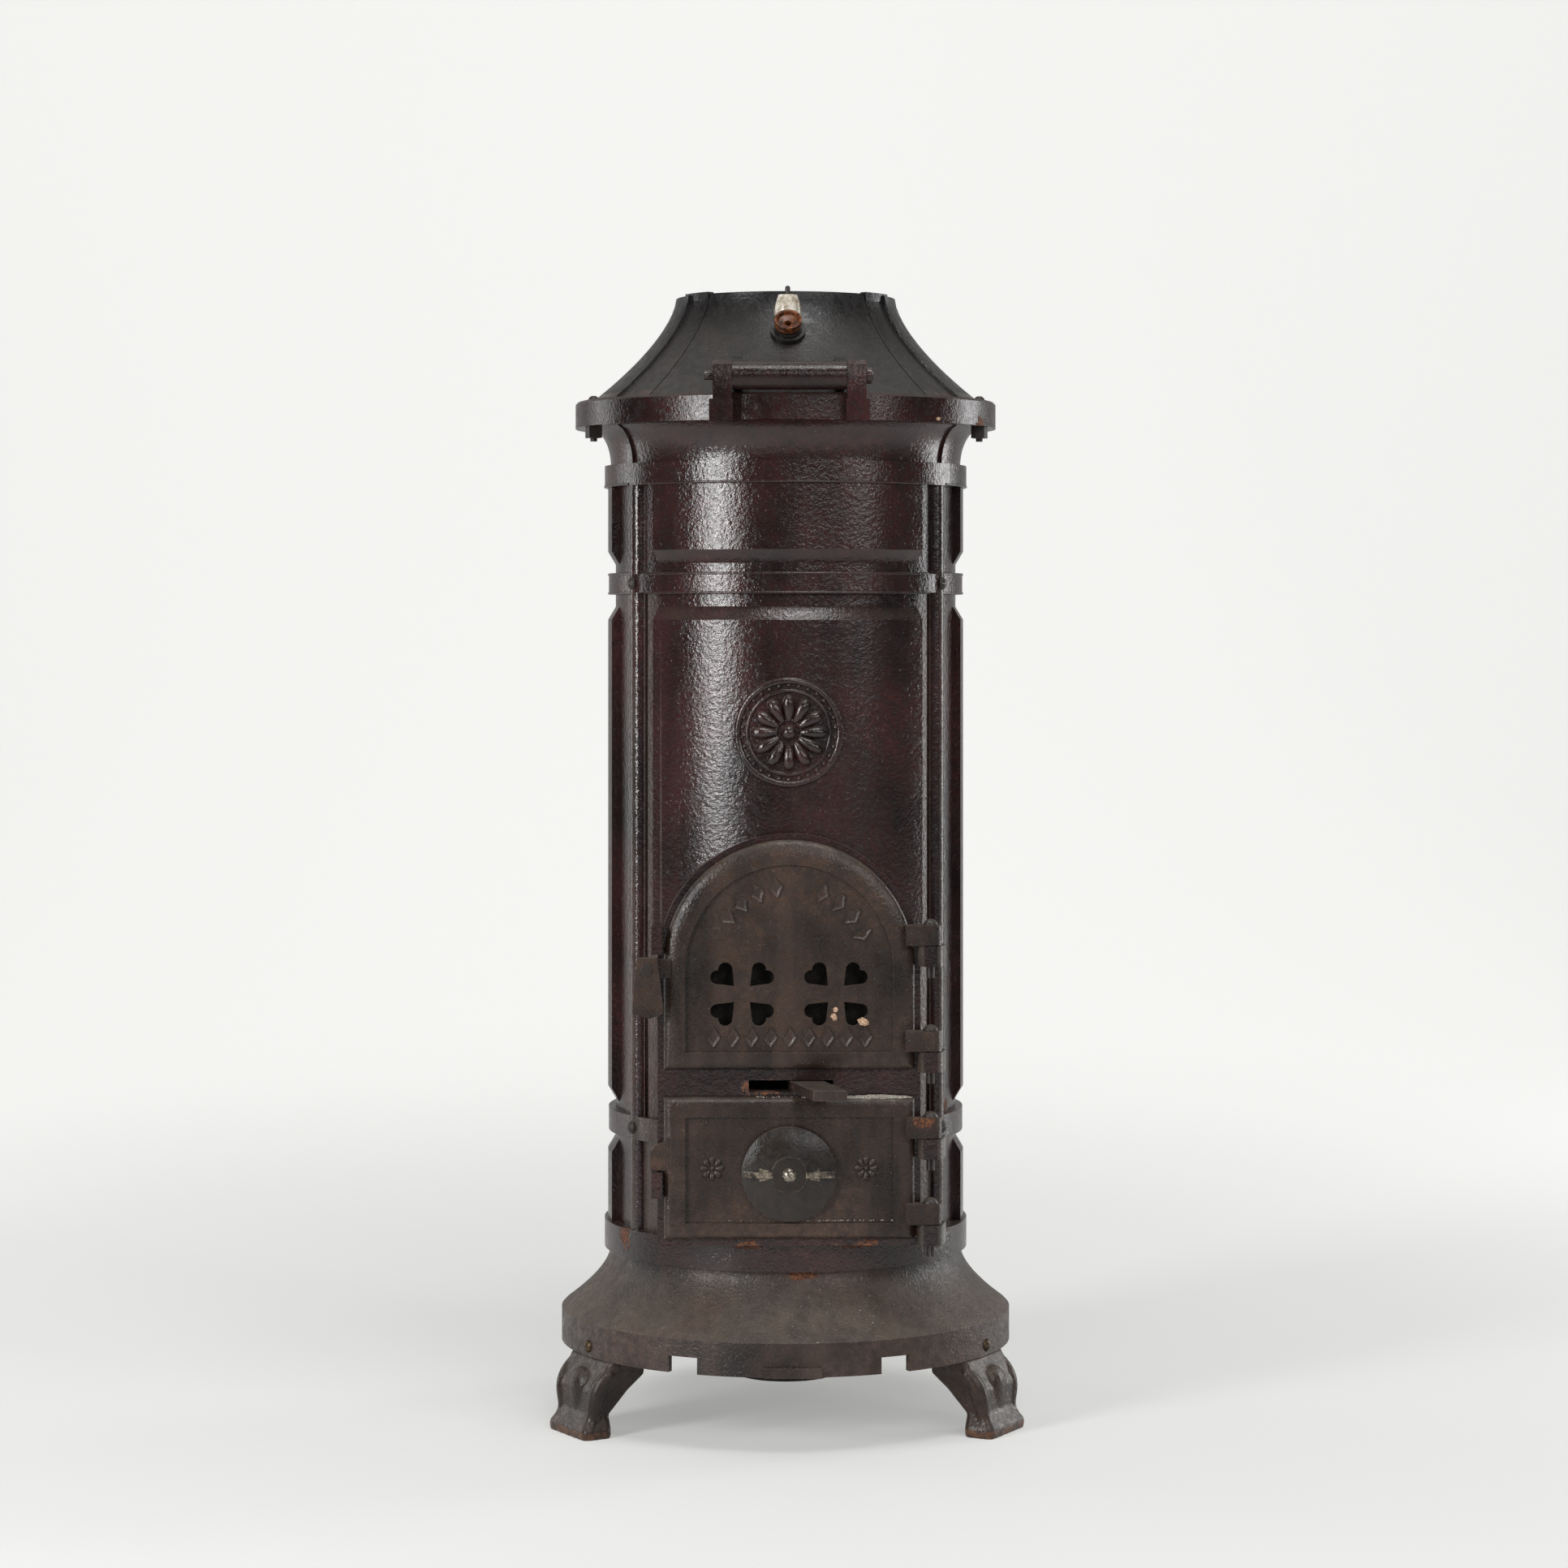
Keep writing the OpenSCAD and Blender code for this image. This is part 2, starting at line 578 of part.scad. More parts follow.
// ---------- fill door ----------
module knob_frame() translate([0, -cone_at((knob_z - flange_top) / cone_h), knob_z])
    rotate([90 - knob_tilt, 0, 0]) children();
// Stepped seat of the knob, grown by a margin
module knob_boss(margin) knob_frame() {
    translate([0, 0, -9]) cylinder(r = 15 + margin, h = 13 + margin);
    cylinder(r = 12 + margin, h = 6 + margin);
}
module fill_door() {
    half_a = fill_half - asin(fill_gap / cone_foot_r);
    color([0.27, 0.26, 0.26]) difference() {
        union() {
            sector(-half_a, half_a) cone_line(0, fill_wall, 0.6 / cone_h, 1);
            for (x = [-barrel_w / 2, barrel_w / 2 - 9]) side_plate(x, x + 9) polygon([
                [fill_y - 4, fill_z + 11], [fill_y + 24, fill_z + 18], [fill_y + 52, fill_z + 17],
                [fill_y + 44, fill_z - 4], [fill_y + 2, fill_z - 11]]);
            translate([-barrel_w / 2, fill_y, fill_z]) rotate([0, 90, 0])
                cylinder(r = barrel_r, h = barrel_w);
            knob_boss(0);
        }
        rotate_extrude() polygon(concat([[0, flange_top], [cone_at(0) - fill_wall, flange_top - lap]],
            [for (i = [0:14]) [cone_at(i / 14) - fill_wall, flange_top + cone_h * i / 14]],
            [[rim_r - fill_wall, rim_z + lap], [0, rim_z + lap]]));
        translate([-fill_pin_reach, fill_y, fill_z]) rotate([0, 90, 0])
            cylinder(r = fill_pin_r + run_fit, h = 2 * fill_pin_reach);
    }
}
module fill_hinge_pin() color([0.26, 0.23, 0.22]) translate([-fill_pin_reach - 1, fill_y, fill_z])
    rotate([0, 90, 0]) difference() {
        union() {
            cylinder(r = fill_pin_r, h = 2 * fill_pin_reach + 1);
            translate([0, 0, 2 * fill_pin_reach - 4.5]) cylinder(r = 7, h = 4);
        }
        translate([0, -8, 3.5]) rotate([-90, 0, 0]) cylinder(r = 1.3, h = 16);
    }
module fill_pin_split() color([0.3, 0.26, 0.24])
    translate([-fill_pin_reach + 2.5, fill_y - 7, fill_z]) rotate([-90, 0, 0]) {
        cylinder(r = 1.2, h = 14);
        sphere(r = 2.4);
    }
// Metal cup of the knob, leaning up from the door's boss
module knob_cup() color([0.45, 0.25, 0.14]) knob_frame() rotate_extrude() polygon([
    [3, 6], [8, 6], [knob_r, 10], [knob_r, cup_rim], [10, cup_rim], [8.5, 12.5], [3, 11]]);
// Everything inside the fill door's outer face
module under_cone() rotate_extrude() polygon(concat(
    [for (i = [0:14]) [cone_at(i / 14) + touch, flange_top + cone_h * i / 14]],
    [[0, rim_z], [0, flange_top]]));
// What is left of the china, standing on the cup's upper rim in front of the stud
module knob_shell() color([0.8, 0.77, 0.7]) difference() {
    translate([0, -shell_at, knob_z + shell_foot]) rotate([0, 0, -90 - 80])
        rotate_extrude(angle = 160) polygon([[knob_r - 0.2, 0], [knob_r, 6],
            [10.6, 14], [8.2, 21], [6.8, 20.4], [9, 13.4], [9.9, 6], [9.6, 0]]);
    knob_frame() cylinder(r = knob_r, h = cup_rim);
    under_cone();
}
// The stud stands up from the door's upper edge
module knob_stud() color([0.25, 0.22, 0.2]) {
    stud_top = rim_z + 2;
    difference() {
        upright(0, -stud_at, knob_z, stud_top, stud_r);
        under_cone();
        knob_boss(touch);
    }
    translate([0, -stud_at, stud_top]) sphere(r = stud_r);
}

// ---------- doors ----------
// Points [distance, y] of a rolled edge of width w, from the front face round to the door's back
function roll_edge(edge, side, w) = concat(
    [for (a = [90:-15:0]) [edge - side * (w - w * cos(a)), door_front + roll_d - roll_d * sin(a)]],
    [[edge, door_back]]);
function turned(points) = [for (i = [len(points) - 1:-1:0]) points[i]];
function swapped(points) = [for (p = points) [p[1], p[0]]];
// Slab with rolled edges on both sides, at its foot and, when round_top is set, at its top
module door_slab(z0, z1, w, round_top) intersection() {
    translate([0, 0, z0]) linear_extrude(z1 - z0)
        polygon(concat(roll_edge(door_half, 1, w), turned(roll_edge(-door_half, -1, w))));
    side_plate(-door_half, door_half) polygon(swapped(concat(roll_edge(z0, -1, w),
        round_top ? turned(roll_edge(z1, 1, w)) : [[z1, door_back], [z1, door_front]])));
}
module door_arch(w) translate([0, 0, arch_z]) rotate([90, 0, 0]) rotate_extrude(angle = 180)
    polygon(concat([[0, -door_back], [0, -door_front]],
        [for (p = roll_edge(door_half, 1, w)) [p[0], -p[1]]]));
module door_knuckles(zs) for (z = zs) {
    z0 = z + knuckle_h + knuckle_gap;
    upright(pin_x, pin_y, z0, z0 + knuckle_h, knuckle_r);
    // arm, square at the front out to just past the pin
    translate([door_half - 8, pin_y - knuckle_r + 0.2, z0])
        cube([pin_x - door_half + 11, knuckle_r + 6.8, knuckle_h]);
}
module knuckle_bores(zs) for (z = zs)
    upright(pin_x, pin_y, z + knuckle_h, z + 2 * knuckle_h + 2, bore_r);
// Point where a line from tip touches a circle, on its far side
function touch_point(tip, centre, r) =
    let (d = centre - tip, n = norm(d), a = atan2(d[1], d[0]) + asin(r / n))
    tip + sqrt(n * n - r * r) * [cos(a), sin(a)];
// One heart-shaped hole, its tip towards the middle of its clover
module leaf() {
    tip = [-11, 0];
    lobe = [4.5, lobe_r * 0.78];
    edge = touch_point(tip, lobe, lobe_r);
    for (s = [-1, 1]) translate([lobe[0], s * lobe[1]]) circle(lobe_r);
    polygon([tip, edge, lobe, [lobe[0], -lobe[1]], [edge[0], -edge[1]]]);
}
module fire_door() color([0.24, 0.2, 0.18]) difference() {
    union() {
        door_slab(fire_z0, arch_z, fire_roll, false);
        door_arch(fire_roll);
        door_knuckles(fire_knuckles);
        // lug that carries the latch
        front_plate(door_front, door_back) {
            translate([latch_x, latch_z - 8]) square([-latch_x - door_half + 6, 16]);
            translate([latch_x, latch_z]) circle(8);
        }
    }
    front_plate(door_front - lap, door_front + field_d)
        arch(door_half - border, fire_z0 + 15, arch_z - 2.4);
    front_plate(door_front - lap, door_back + lap) for (s = [-1, 1], a = [45:90:315])
        translate([s * 39.6, arch_z - 24]) rotate(a) translate([20.3, 0]) leaf();
    knuckle_bores(fire_knuckles);
    front_plate(door_front - lap, door_back + lap) translate([latch_x, latch_z]) circle(latch_r + 0.05);
    for (p = baffle_screw_at) translate([p[0], door_back - 4, p[1]]) rotate([-90, 0, 0])
        cylinder(r = hole_r, h = 6);
}
module baffle_plate() color([0.17, 0.15, 0.14])
    front_plate(door_back + baffle_off, door_back + baffle_off + baffle_t) difference() {
        arch(baffle_half, fire_z0 + 24, arch_z);
        for (p = baffle_screw_at) translate(p) circle(hole_r);
    }
module baffle_spacers() color([0.22, 0.2, 0.19])
    front_plate(door_back, door_back + baffle_off) for (p = baffle_screw_at)
        translate(p) difference() { circle(6); circle(hole_r); }
module baffle_screws() color([0.22, 0.2, 0.19]) for (p = baffle_screw_at)
    translate([p[0], door_back + baffle_off + baffle_t, p[1]]) rotate([-90, 0, 0])
        screw(screw_r, baffle_off + baffle_t + 3.8, head_r, 3);
module hinge_pin(z) color([0.28, 0.24, 0.22]) translate([pin_x, pin_y, 0]) {
    top = z + 2 * knuckle_h + knuckle_gap + touch;
    difference() {
        translate([0, 0, z - tail_h]) cylinder(r = pin_r, h = top - z + tail_h + eps);
        translate([-0.6, -pin_r - lap, z - tail_h - lap]) cube([1.2, 2 * pin_r + 2, tail_h]);
    }
    translate([0, 0, top]) dome_head(6.5, dome_h);
}
module fire_pin_upper() hinge_pin(fire_knuckles[1]);
module fire_pin_lower() hinge_pin(fire_knuckles[0]);
module ash_pin_upper() hinge_pin(ash_knuckles[1]);
module ash_pin_lower() hinge_pin(ash_knuckles[0]);
module latch_handle() color([0.26, 0.23, 0.22]) difference() {
    union() {
        front_plate(latch_front - latch_t, latch_front) polygon([
            [latch_x - 8, latch_z + 10], [latch_x + 9, latch_z + 10], [latch_x + 14, latch_z - 31],
            [latch_x + 14, latch_z - 37], [latch_x + 3, latch_z - 41],
            [latch_x - 12, latch_z - 37], [latch_x - 12, latch_z - 31]]);
        front_plate(latch_front - 2, door_front - touch) translate([latch_x, latch_z]) circle(7.5);
    }
    front_plate(latch_front - 3 * latch_t, door_front + lap)
        translate([latch_x, latch_z]) circle(latch_r + run_fit);
}
module latch_rivet() color([0.26, 0.23, 0.22]) translate([latch_x, door_back, latch_z]) rotate([90, 0, 0]) {
    cylinder(r = latch_r, h = door_back - latch_front + latch_t + touch + eps);
    translate([0, 0, door_back - latch_front + latch_t + touch]) cylinder(r = 5, h = 0.9);
}
module ash_door() color([0.24, 0.2, 0.18]) difference() {
    union() {
        difference() {
            door_slab(ash_z0, ash_z1, ash_roll, true);
            front_plate(door_front - lap, door_front + field_d)
                block(door_half - border, ash_z0 + 14, ash_z1 - 16.5);
        }
        // seat ring and boss of the draught disc
        front_plate(disc_y + touch, door_front + field_d + lap) translate([0, disc_z]) {
            difference() { circle(disc_d / 2 - 4); circle(disc_d / 2 - 9); }
            circle(9);
        }
        door_knuckles(ash_knuckles);
        // ear over the keeper, with its stepped top
        front_plate(door_front, door_back) polygon([
            [-door_half + 5, disc_z + 3], [-frame_half - 6, disc_z + 3],
            [-frame_half - 6, disc_z + 19], [-frame_half - 2, disc_z + 24],
            [-door_half - 1, disc_z + 26], [-door_half + 5, disc_z + 32]]);
    }
    // air holes behind the disc
    front_plate(disc_y - 2 * lap, door_back + lap) translate([0, disc_z]) difference() {
        circle(disc_d / 2 - 12);
        circle(9);
        for (a = [0, 90]) rotate(a) translate([-disc_d, -4]) square([2 * disc_d, 8]);
    }
    front_plate(disc_y - lap, door_back + lap) translate([0, disc_z]) circle(draught_r + screw_fit);
    knuckle_bores(ash_knuckles);
}
// Draught disc: its local z points out of the door, 0 at its back
module draught_frame() translate([0, disc_y, disc_z]) rotate([90, 0, 0]) children();
module draught_disc() color([0.25, 0.21, 0.2]) draught_frame() difference() {
    union() {
        rotate_extrude() polygon([[0, 0], [disc_d / 2, 0], [disc_d / 2, 2.2], [disc_d * 0.42, 4.6],
            [disc_d * 0.32, 6.6], [disc_d * 0.22, 7.8], [15.5, 8.2], [15, disc_t], [0, disc_t]]);
        for (s = [0, 180]) rotate(s) translate([14, -2.5, 2]) cube([disc_d / 2 - 16, 5, 8]);
    }
    translate([0, 0, -lap]) cylinder(r = draught_r + run_fit, h = 12);
}
module draught_screw() color([0.5, 0.45, 0.4])
    draught_frame() translate([0, 0, disc_t + touch]) rotate(-50)
        screw(draught_r, disc_t + touch + door_back - disc_y + 7, 6, 3.6);
module draught_nut() color([0.22, 0.2, 0.19]) difference() {
    front_plate(door_back, door_back + 6) translate([0, disc_z]) circle(8, $fn = 6);
    front_plate(door_back - lap, door_back + 7) translate([0, disc_z]) circle(draught_r + screw_fit);
}

// ---------- inside ----------
// Half the lever's width, square to the line from a to b
function across(a, b) = let (d = b - a) [-d[1], d[0]] / norm(d) * lever_w / 2;
module lever_outline(extra) {
    p = lever_path;
    side = across(p[0], p[1]) * (1 + 2 * extra / lever_w);
    tip = [lever_w / 2 + extra, 0];
    polygon([p[0] - side, p[1] - side, p[2] - tip, p[2] + tip, p[1] + side, p[0] + side]);
}
// Ends of the grate's slot at x; the middle ones start behind the lever's root
function slot_back(x) = sqrt(pow(ring_in, 2) - x * x);
function slot_front(x) = abs(x) < 2 * bar_pitch ? 8 - lever_root : -slot_back(x);
module fire_grate() color([0.2, 0.17, 0.15]) difference() {
    translate([0, 0, grate_z]) cylinder(r = grate_r, h = grate_t);
    for (x = [-4 * bar_pitch : bar_pitch : 4 * bar_pitch])
        translate([x - bar_slot / 2, slot_front(x), grate_z - lap])
            cube([bar_slot, slot_back(x) - slot_front(x), grate_t + 2 * lap]);
    // notch that the lever lies in
    translate([0, 0, grate_z + shelf_t]) linear_extrude(grate_t) lever_outline(0.15);
    for (p = lever_bolt_at) upright(p[0], p[1], grate_z - lap, grate_z + grate_t, hole_r);
}
module shaker_lever() color([0.32, 0.24, 0.2]) difference() {
    translate([0, 0, lever_z]) linear_extrude(lever_t) lever_outline(0);
    for (p = lever_bolt_at) upright(p[0], p[1], lever_z - lap, lever_z + 2 * lever_t, hole_r);
}
module lever_bolts() color([0.25, 0.22, 0.2]) for (p = lever_bolt_at)
    translate([p[0], p[1], lever_z + lever_t]) screw(screw_r, lever_t + shelf_t, head_r, 3);
module grate_ring() color([0.2, 0.17, 0.15]) rotate_extrude()
    translate([ring_in, ring_z]) square([lining_r - ring_in, ring_t]);
// Firebricks stand on the ring, from one side of the fire door round the back to the other
module brick(i) color([0.62, 0.52, 0.42])
    sector(brick_a + i * brick_span + 0.15, brick_a + (i + 1) * brick_span - 0.15)
        translate([brick_in, ring_top]) square([brick_t, brick_h]);
module brick_right_front() brick(0);
module brick_right_rear() brick(1);
module brick_rear() brick(2);
module brick_left_rear() brick(3);
module brick_left_front() brick(4);
module ash_floor() color([0.2, 0.17, 0.15]) upright(0, 0, ash_floor_z, ash_floor_z + floor_t, lining_r);
module ash_pan() color([0.3, 0.27, 0.25]) {
    pan_d = 2 * sqrt(pow(lining_r, 2) - pow(pan_w / 2, 2)) - 2 * pan_room;
    translate([-pan_w / 2, -pan_d / 2, ash_floor_z + floor_t]) difference() {
        cube([pan_w, pan_d, pan_h]);
        translate([pan_wall, pan_wall, pan_wall])
            cube([pan_w - 2 * pan_wall, pan_d - 2 * pan_wall, pan_h]);
    }
}

// ---------- flue ----------
module flue_collar() color([0.22, 0.18, 0.18]) difference() {
    union() {
        intersection() {
            upright(0, 0, flue_z - saddle_r, flue_z + saddle_r, saddle_in + saddle_t);
            translate([0, 0, flue_z]) rotate([-90, 0, 0]) cylinder(r = saddle_r, h = 2 * body_r);
        }
        translate([0, body_r / 2, flue_z]) rotate([-90, 0, 0]) {
            cylinder(r = flue_r, h = reach - body_r / 2);
            cylinder(r = flue_r + flue_stop, h = stop_y - body_r / 2);
        }
    }
    upright(0, 0, flue_z - 2 * saddle_r, flue_z + 2 * saddle_r, saddle_in);
    flue_hole();
    for (s = [-1, 1], z = [-1, 1])
        outward(180 + s * flue_bolt_a, body_r - 5, flue_z + z * flue_bolt_at)
            cylinder(r = hole_r, h = 3 * saddle_t);
}
module flue_bolts() color([0.25, 0.22, 0.2]) for (s = [-1, 1], z = [-1, 1])
    outward(180 + s * flue_bolt_a, 0, flue_z + z * flue_bolt_at) {
        translate([0, 0, saddle_in + saddle_t + 0.2]) cylinder(r = 6, h = 4.5, $fn = 6);
        translate([0, 0, inner_r - 5.6]) cylinder(r = screw_r, h = body_r + 7 + saddle_t - inner_r);
        translate([0, 0, inner_r - 5.6]) cylinder(r = 6, h = 5.3, $fn = 6);
    }

base_ring();
ash_dish();
foot_left();
foot_right();
foot_rear();
foot_screws();
front_panel();
left_panel();
right_panel();
seam_strip_left();
seam_strip_right();
seam_strip_rear();
panel_screws();
cornice();
top_cone();
flange_bolts();
flange_nuts();
fill_door();
fill_hinge_pin();
fill_pin_split();
knob_cup();
knob_shell();
knob_stud();
fire_door();
baffle_plate();
baffle_spacers();
baffle_screws();
fire_pin_upper();
fire_pin_lower();
latch_handle();
latch_rivet();
ash_door();
ash_pin_upper();
ash_pin_lower();
draught_disc();
draught_screw();
draught_nut();
fire_grate();
shaker_lever();
lever_bolts();
grate_ring();
brick_left_front();
brick_left_rear();
brick_rear();
brick_right_rear();
brick_right_front();
ash_floor();
ash_pan();
flue_collar();
flue_bolts();
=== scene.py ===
# Looks of the cast-iron column stove: rounded and pitted castings, worn lacquer,
# rust, ash and the small cast ornaments, all in metres in the part's own frame.
import json
import math
import random

import bpy
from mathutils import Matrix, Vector


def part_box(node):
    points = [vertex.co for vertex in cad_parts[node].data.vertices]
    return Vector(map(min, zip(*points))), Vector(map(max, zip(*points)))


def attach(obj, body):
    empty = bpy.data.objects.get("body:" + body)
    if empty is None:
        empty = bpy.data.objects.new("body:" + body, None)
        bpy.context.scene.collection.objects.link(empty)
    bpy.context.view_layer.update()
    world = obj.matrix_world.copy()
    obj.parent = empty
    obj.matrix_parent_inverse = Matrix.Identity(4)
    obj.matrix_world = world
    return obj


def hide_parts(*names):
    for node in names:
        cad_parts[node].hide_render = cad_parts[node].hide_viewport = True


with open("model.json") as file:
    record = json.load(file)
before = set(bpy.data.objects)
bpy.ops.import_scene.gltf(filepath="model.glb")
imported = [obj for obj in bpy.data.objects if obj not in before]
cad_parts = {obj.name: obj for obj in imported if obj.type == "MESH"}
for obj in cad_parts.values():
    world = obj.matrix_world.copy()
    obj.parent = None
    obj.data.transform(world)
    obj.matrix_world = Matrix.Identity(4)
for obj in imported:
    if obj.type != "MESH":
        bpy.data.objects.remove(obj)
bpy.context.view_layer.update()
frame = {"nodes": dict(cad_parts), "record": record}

MM = 0.001
RECORD = frame["record"]
BODY_OF = {n: b for b, nodes in RECORD["behaviour"]["bodies"].items() for n in nodes}
SLOT_OF = {part["node"]: part["material_slot"] for part in RECORD["subparts"]}

# Places and sizes that the castings give, with the few that they don't
BAND_RISE = 2.9 * MM                                # bands stand this far out of the body's fields
BODY_R = -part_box("left_panel")[0].x - BAND_RISE     # raised fields of the body
BODY_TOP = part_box("left_panel")[1].z
APRON_R = -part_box("base_ring")[0].x
CONE_RISE = 92 * MM                                 # from the flange up to the open rim
FLANGE_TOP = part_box("top_cone")[1].z - CONE_RISE    # upper face of the cone's flange
POST_FRONT = -179 * MM                              # the hinge posts of the fill door start here
BARREL_Y, BARREL_Z = -182 * MM, 905 * MM            # axis of the fill door's barrel
BARREL_R = 16 * MM
FIRE_LOW, FIRE_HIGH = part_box("fire_door")
ASH_LOW, ASH_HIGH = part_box("ash_door")
DISC_LOW, DISC_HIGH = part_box("draught_disc")
DISC_MID = (DISC_LOW + DISC_HIGH) / 2
DOOR_HALF = 106 * MM                                # half the width of either door
ARCH_Z = FIRE_HIGH.z - DOOR_HALF                    # centre of the fire door's arch
DOOR_T, FIELD_SINK = 9 * MM, 3 * MM                 # a door's thickness, and how deep its field is sunk
DOOR_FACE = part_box("baffle_spacers")[0].y - DOOR_T  # front face of both doors
FIELD_FACE = DOOR_FACE + FIELD_SINK                 # sunk field of both doors
MEDALLION_Z = 604 * MM
QUARTER = math.radians(90)
FOOT_TURNS = {"foot_left": -60, "foot_right": 60, "foot_rear": 180}


# ---------- mesh tools ----------
def pick(*objects):
    """Selects only these objects and makes the first one active."""
    bpy.ops.object.select_all(action="DESELECT")
    for o in objects:
        o.select_set(True)
    bpy.context.view_layer.objects.active = objects[0]


def apply_modifier(piece, name, kind, **settings):
    """Adds one modifier with its settings and applies it."""
    mod = piece.modifiers.new(name, kind)
    for key, value in settings.items():
        setattr(mod, key, value)
    pick(piece)
    bpy.ops.object.modifier_apply(modifier=name)


def mark(piece, name, test):
    """Writes 1 on each face that passes a test of its centre and normal."""
    attributes = piece.data.attributes
    layer = attributes.get(name) or attributes.new(name, "FLOAT", "FACE")
    for face, value in zip(piece.data.polygons, layer.data):
        if test(face.center, face.normal):
            value.value = 1.0


def added():
    """The object that an operator has just added."""
    return bpy.context.object


def settle(piece):
    """Applies a piece's place, turn and scale to its mesh."""
    pick(piece)
    bpy.ops.object.transform_apply(location=True, rotation=True, scale=True)
    return piece


def join(pieces, name):
    """Joins pieces into the first one."""
    pick(*pieces)
    bpy.ops.object.join()
    pieces[0].name = pieces[0].data.name = name
    return pieces[0]


def smooth(piece, degrees=35):
    """Shades a piece smooth, save where two faces meet at more than this angle."""
    pick(piece)
    bpy.ops.object.shade_smooth_by_angle(angle=math.radians(degrees))
    return piece


def new_piece(piece, body, slot, own=None):
    """A piece with no CAD node of its own rides on a body, with its own finish or the slot's."""
    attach(piece, body)
    finish_with(piece, slot, own)


def bead(place, size, segments=20, rings=12):
    """A round or oval lump at a place, its size given along x, y and z."""
    bpy.ops.object.select_all(action="DESELECT")
    bpy.ops.mesh.primitive_uv_sphere_add(segments=segments, ring_count=rings, radius=1.0, location=place,
                                         scale=size)
    return settle(added())


def petal(place, size, taper):
    """A lump that narrows to its lower end."""
    bpy.ops.object.select_all(action="DESELECT")
    bpy.ops.mesh.primitive_uv_sphere_add(segments=24, ring_count=16, radius=1.0)
    lump = added()
    apply_modifier(lump, "narrow", "SIMPLE_DEFORM", deform_method="TAPER", deform_axis="Z", factor=taper)
    lump.scale = size
    lump.location = place
    return settle(lump)


def repeat(pattern, places):
    """Copies of a pattern, each with its own mesh, at places with a turn about y; the pattern goes."""
    pieces = []
    for place, turn in places:
        piece = pattern.copy()
        piece.data = pattern.data.copy()
        bpy.context.scene.collection.objects.link(piece)
        piece.rotation_euler = (0, turn, 0)
        piece.location = place
        pieces.append(settle(piece))
    bpy.data.objects.remove(pattern)
    return pieces


def hoop(place, radius, thick):
    """A ring that faces the front."""
    bpy.ops.object.select_all(action="DESELECT")
    bpy.ops.mesh.primitive_torus_add(major_radius=radius, minor_radius=thick, major_segments=64,
                                     minor_segments=12, rotation=(QUARTER, 0, 0), location=place)
    return settle(added())


def rope(points, radii):
    """A round bar along a smooth curve, closed at both ends, with a radius at each point."""
    data = bpy.data.curves.new("bar", "CURVE")
    data.dimensions = "3D"
    data.bevel_depth = 1.0
    data.bevel_resolution = 4
    data.use_fill_caps = True
    line = data.splines.new("NURBS")
    line.points.add(len(points) - 1)
    for point, (place, thick) in zip(line.points, zip(points, radii)):
        point.co = (*place, 1.0)
        point.radius = thick
    line.use_endpoint_u = True
    line.order_u = 4
    bar = bpy.data.objects.new("bar", data)
    bpy.context.scene.collection.objects.link(bar)
    pick(bar)
    bpy.ops.object.convert(target="MESH")
    return added()


def wrap_round(piece, radius):
    """Lays a flat ornament, drawn round x = 0 with y as its relief, on an upright cylinder."""
    for vertex in piece.data.vertices:
        out = radius - vertex.co.y
        angle = vertex.co.x / radius
        vertex.co.x = out * math.sin(angle)
        vertex.co.y = -out * math.cos(angle)
    return piece


def copy_of(node):
    """A copy of one CAD node's mesh, welded and freed of its flat triangles."""
    mesh = frame["nodes"][node].data.copy()
    mesh.materials.clear()
    piece = bpy.data.objects.new("cast_" + node, mesh)
    bpy.context.scene.collection.objects.link(piece)
    pick(piece)
    bpy.ops.object.mode_set(mode="EDIT")
    bpy.ops.mesh.select_all(action="SELECT")
    bpy.ops.mesh.remove_doubles(threshold=0.002 * MM)
    bpy.ops.mesh.customdata_custom_splitnormals_clear()
    bpy.ops.mesh.dissolve_limited(angle_limit=math.radians(0.6))
    bpy.ops.object.mode_set(mode="OBJECT")
    return piece


def stand_for(piece, node):
    """The piece takes a CAD node's place, body and finish."""
    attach(piece, BODY_OF[node])
    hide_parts(node)
    finish_with(piece, SLOT_OF[node], node)
    return piece


def casting(node, edge):
    """A CAD node with its arrises rounded, and every rounded face marked for the lighter edge tone, which
    is partly rubbed wear and partly a painted highlight along the edges.
    """
    piece = copy_of(node)
    bpy.ops.object.shade_smooth_by_angle(angle=math.radians(30))
    piece.data.materials.append(None)
    piece.data.materials.append(None)
    apply_modifier(piece, "arris", "BEVEL", width=edge, segments=2, limit_method="ANGLE",
                   angle_limit=math.radians(32), harden_normals=True, material=1)
    rounded = [face.material_index == 1 for face in piece.data.polygons]
    worn_and_glinting = piece.data.attributes.new("worn_and_glinting", "FLOAT", "FACE").data
    for face, value, is_round in zip(piece.data.polygons, worn_and_glinting, rounded):
        value.value = float(is_round)
        face.material_index = 0
    piece.data.materials.clear()
    return stand_for(piece, node)


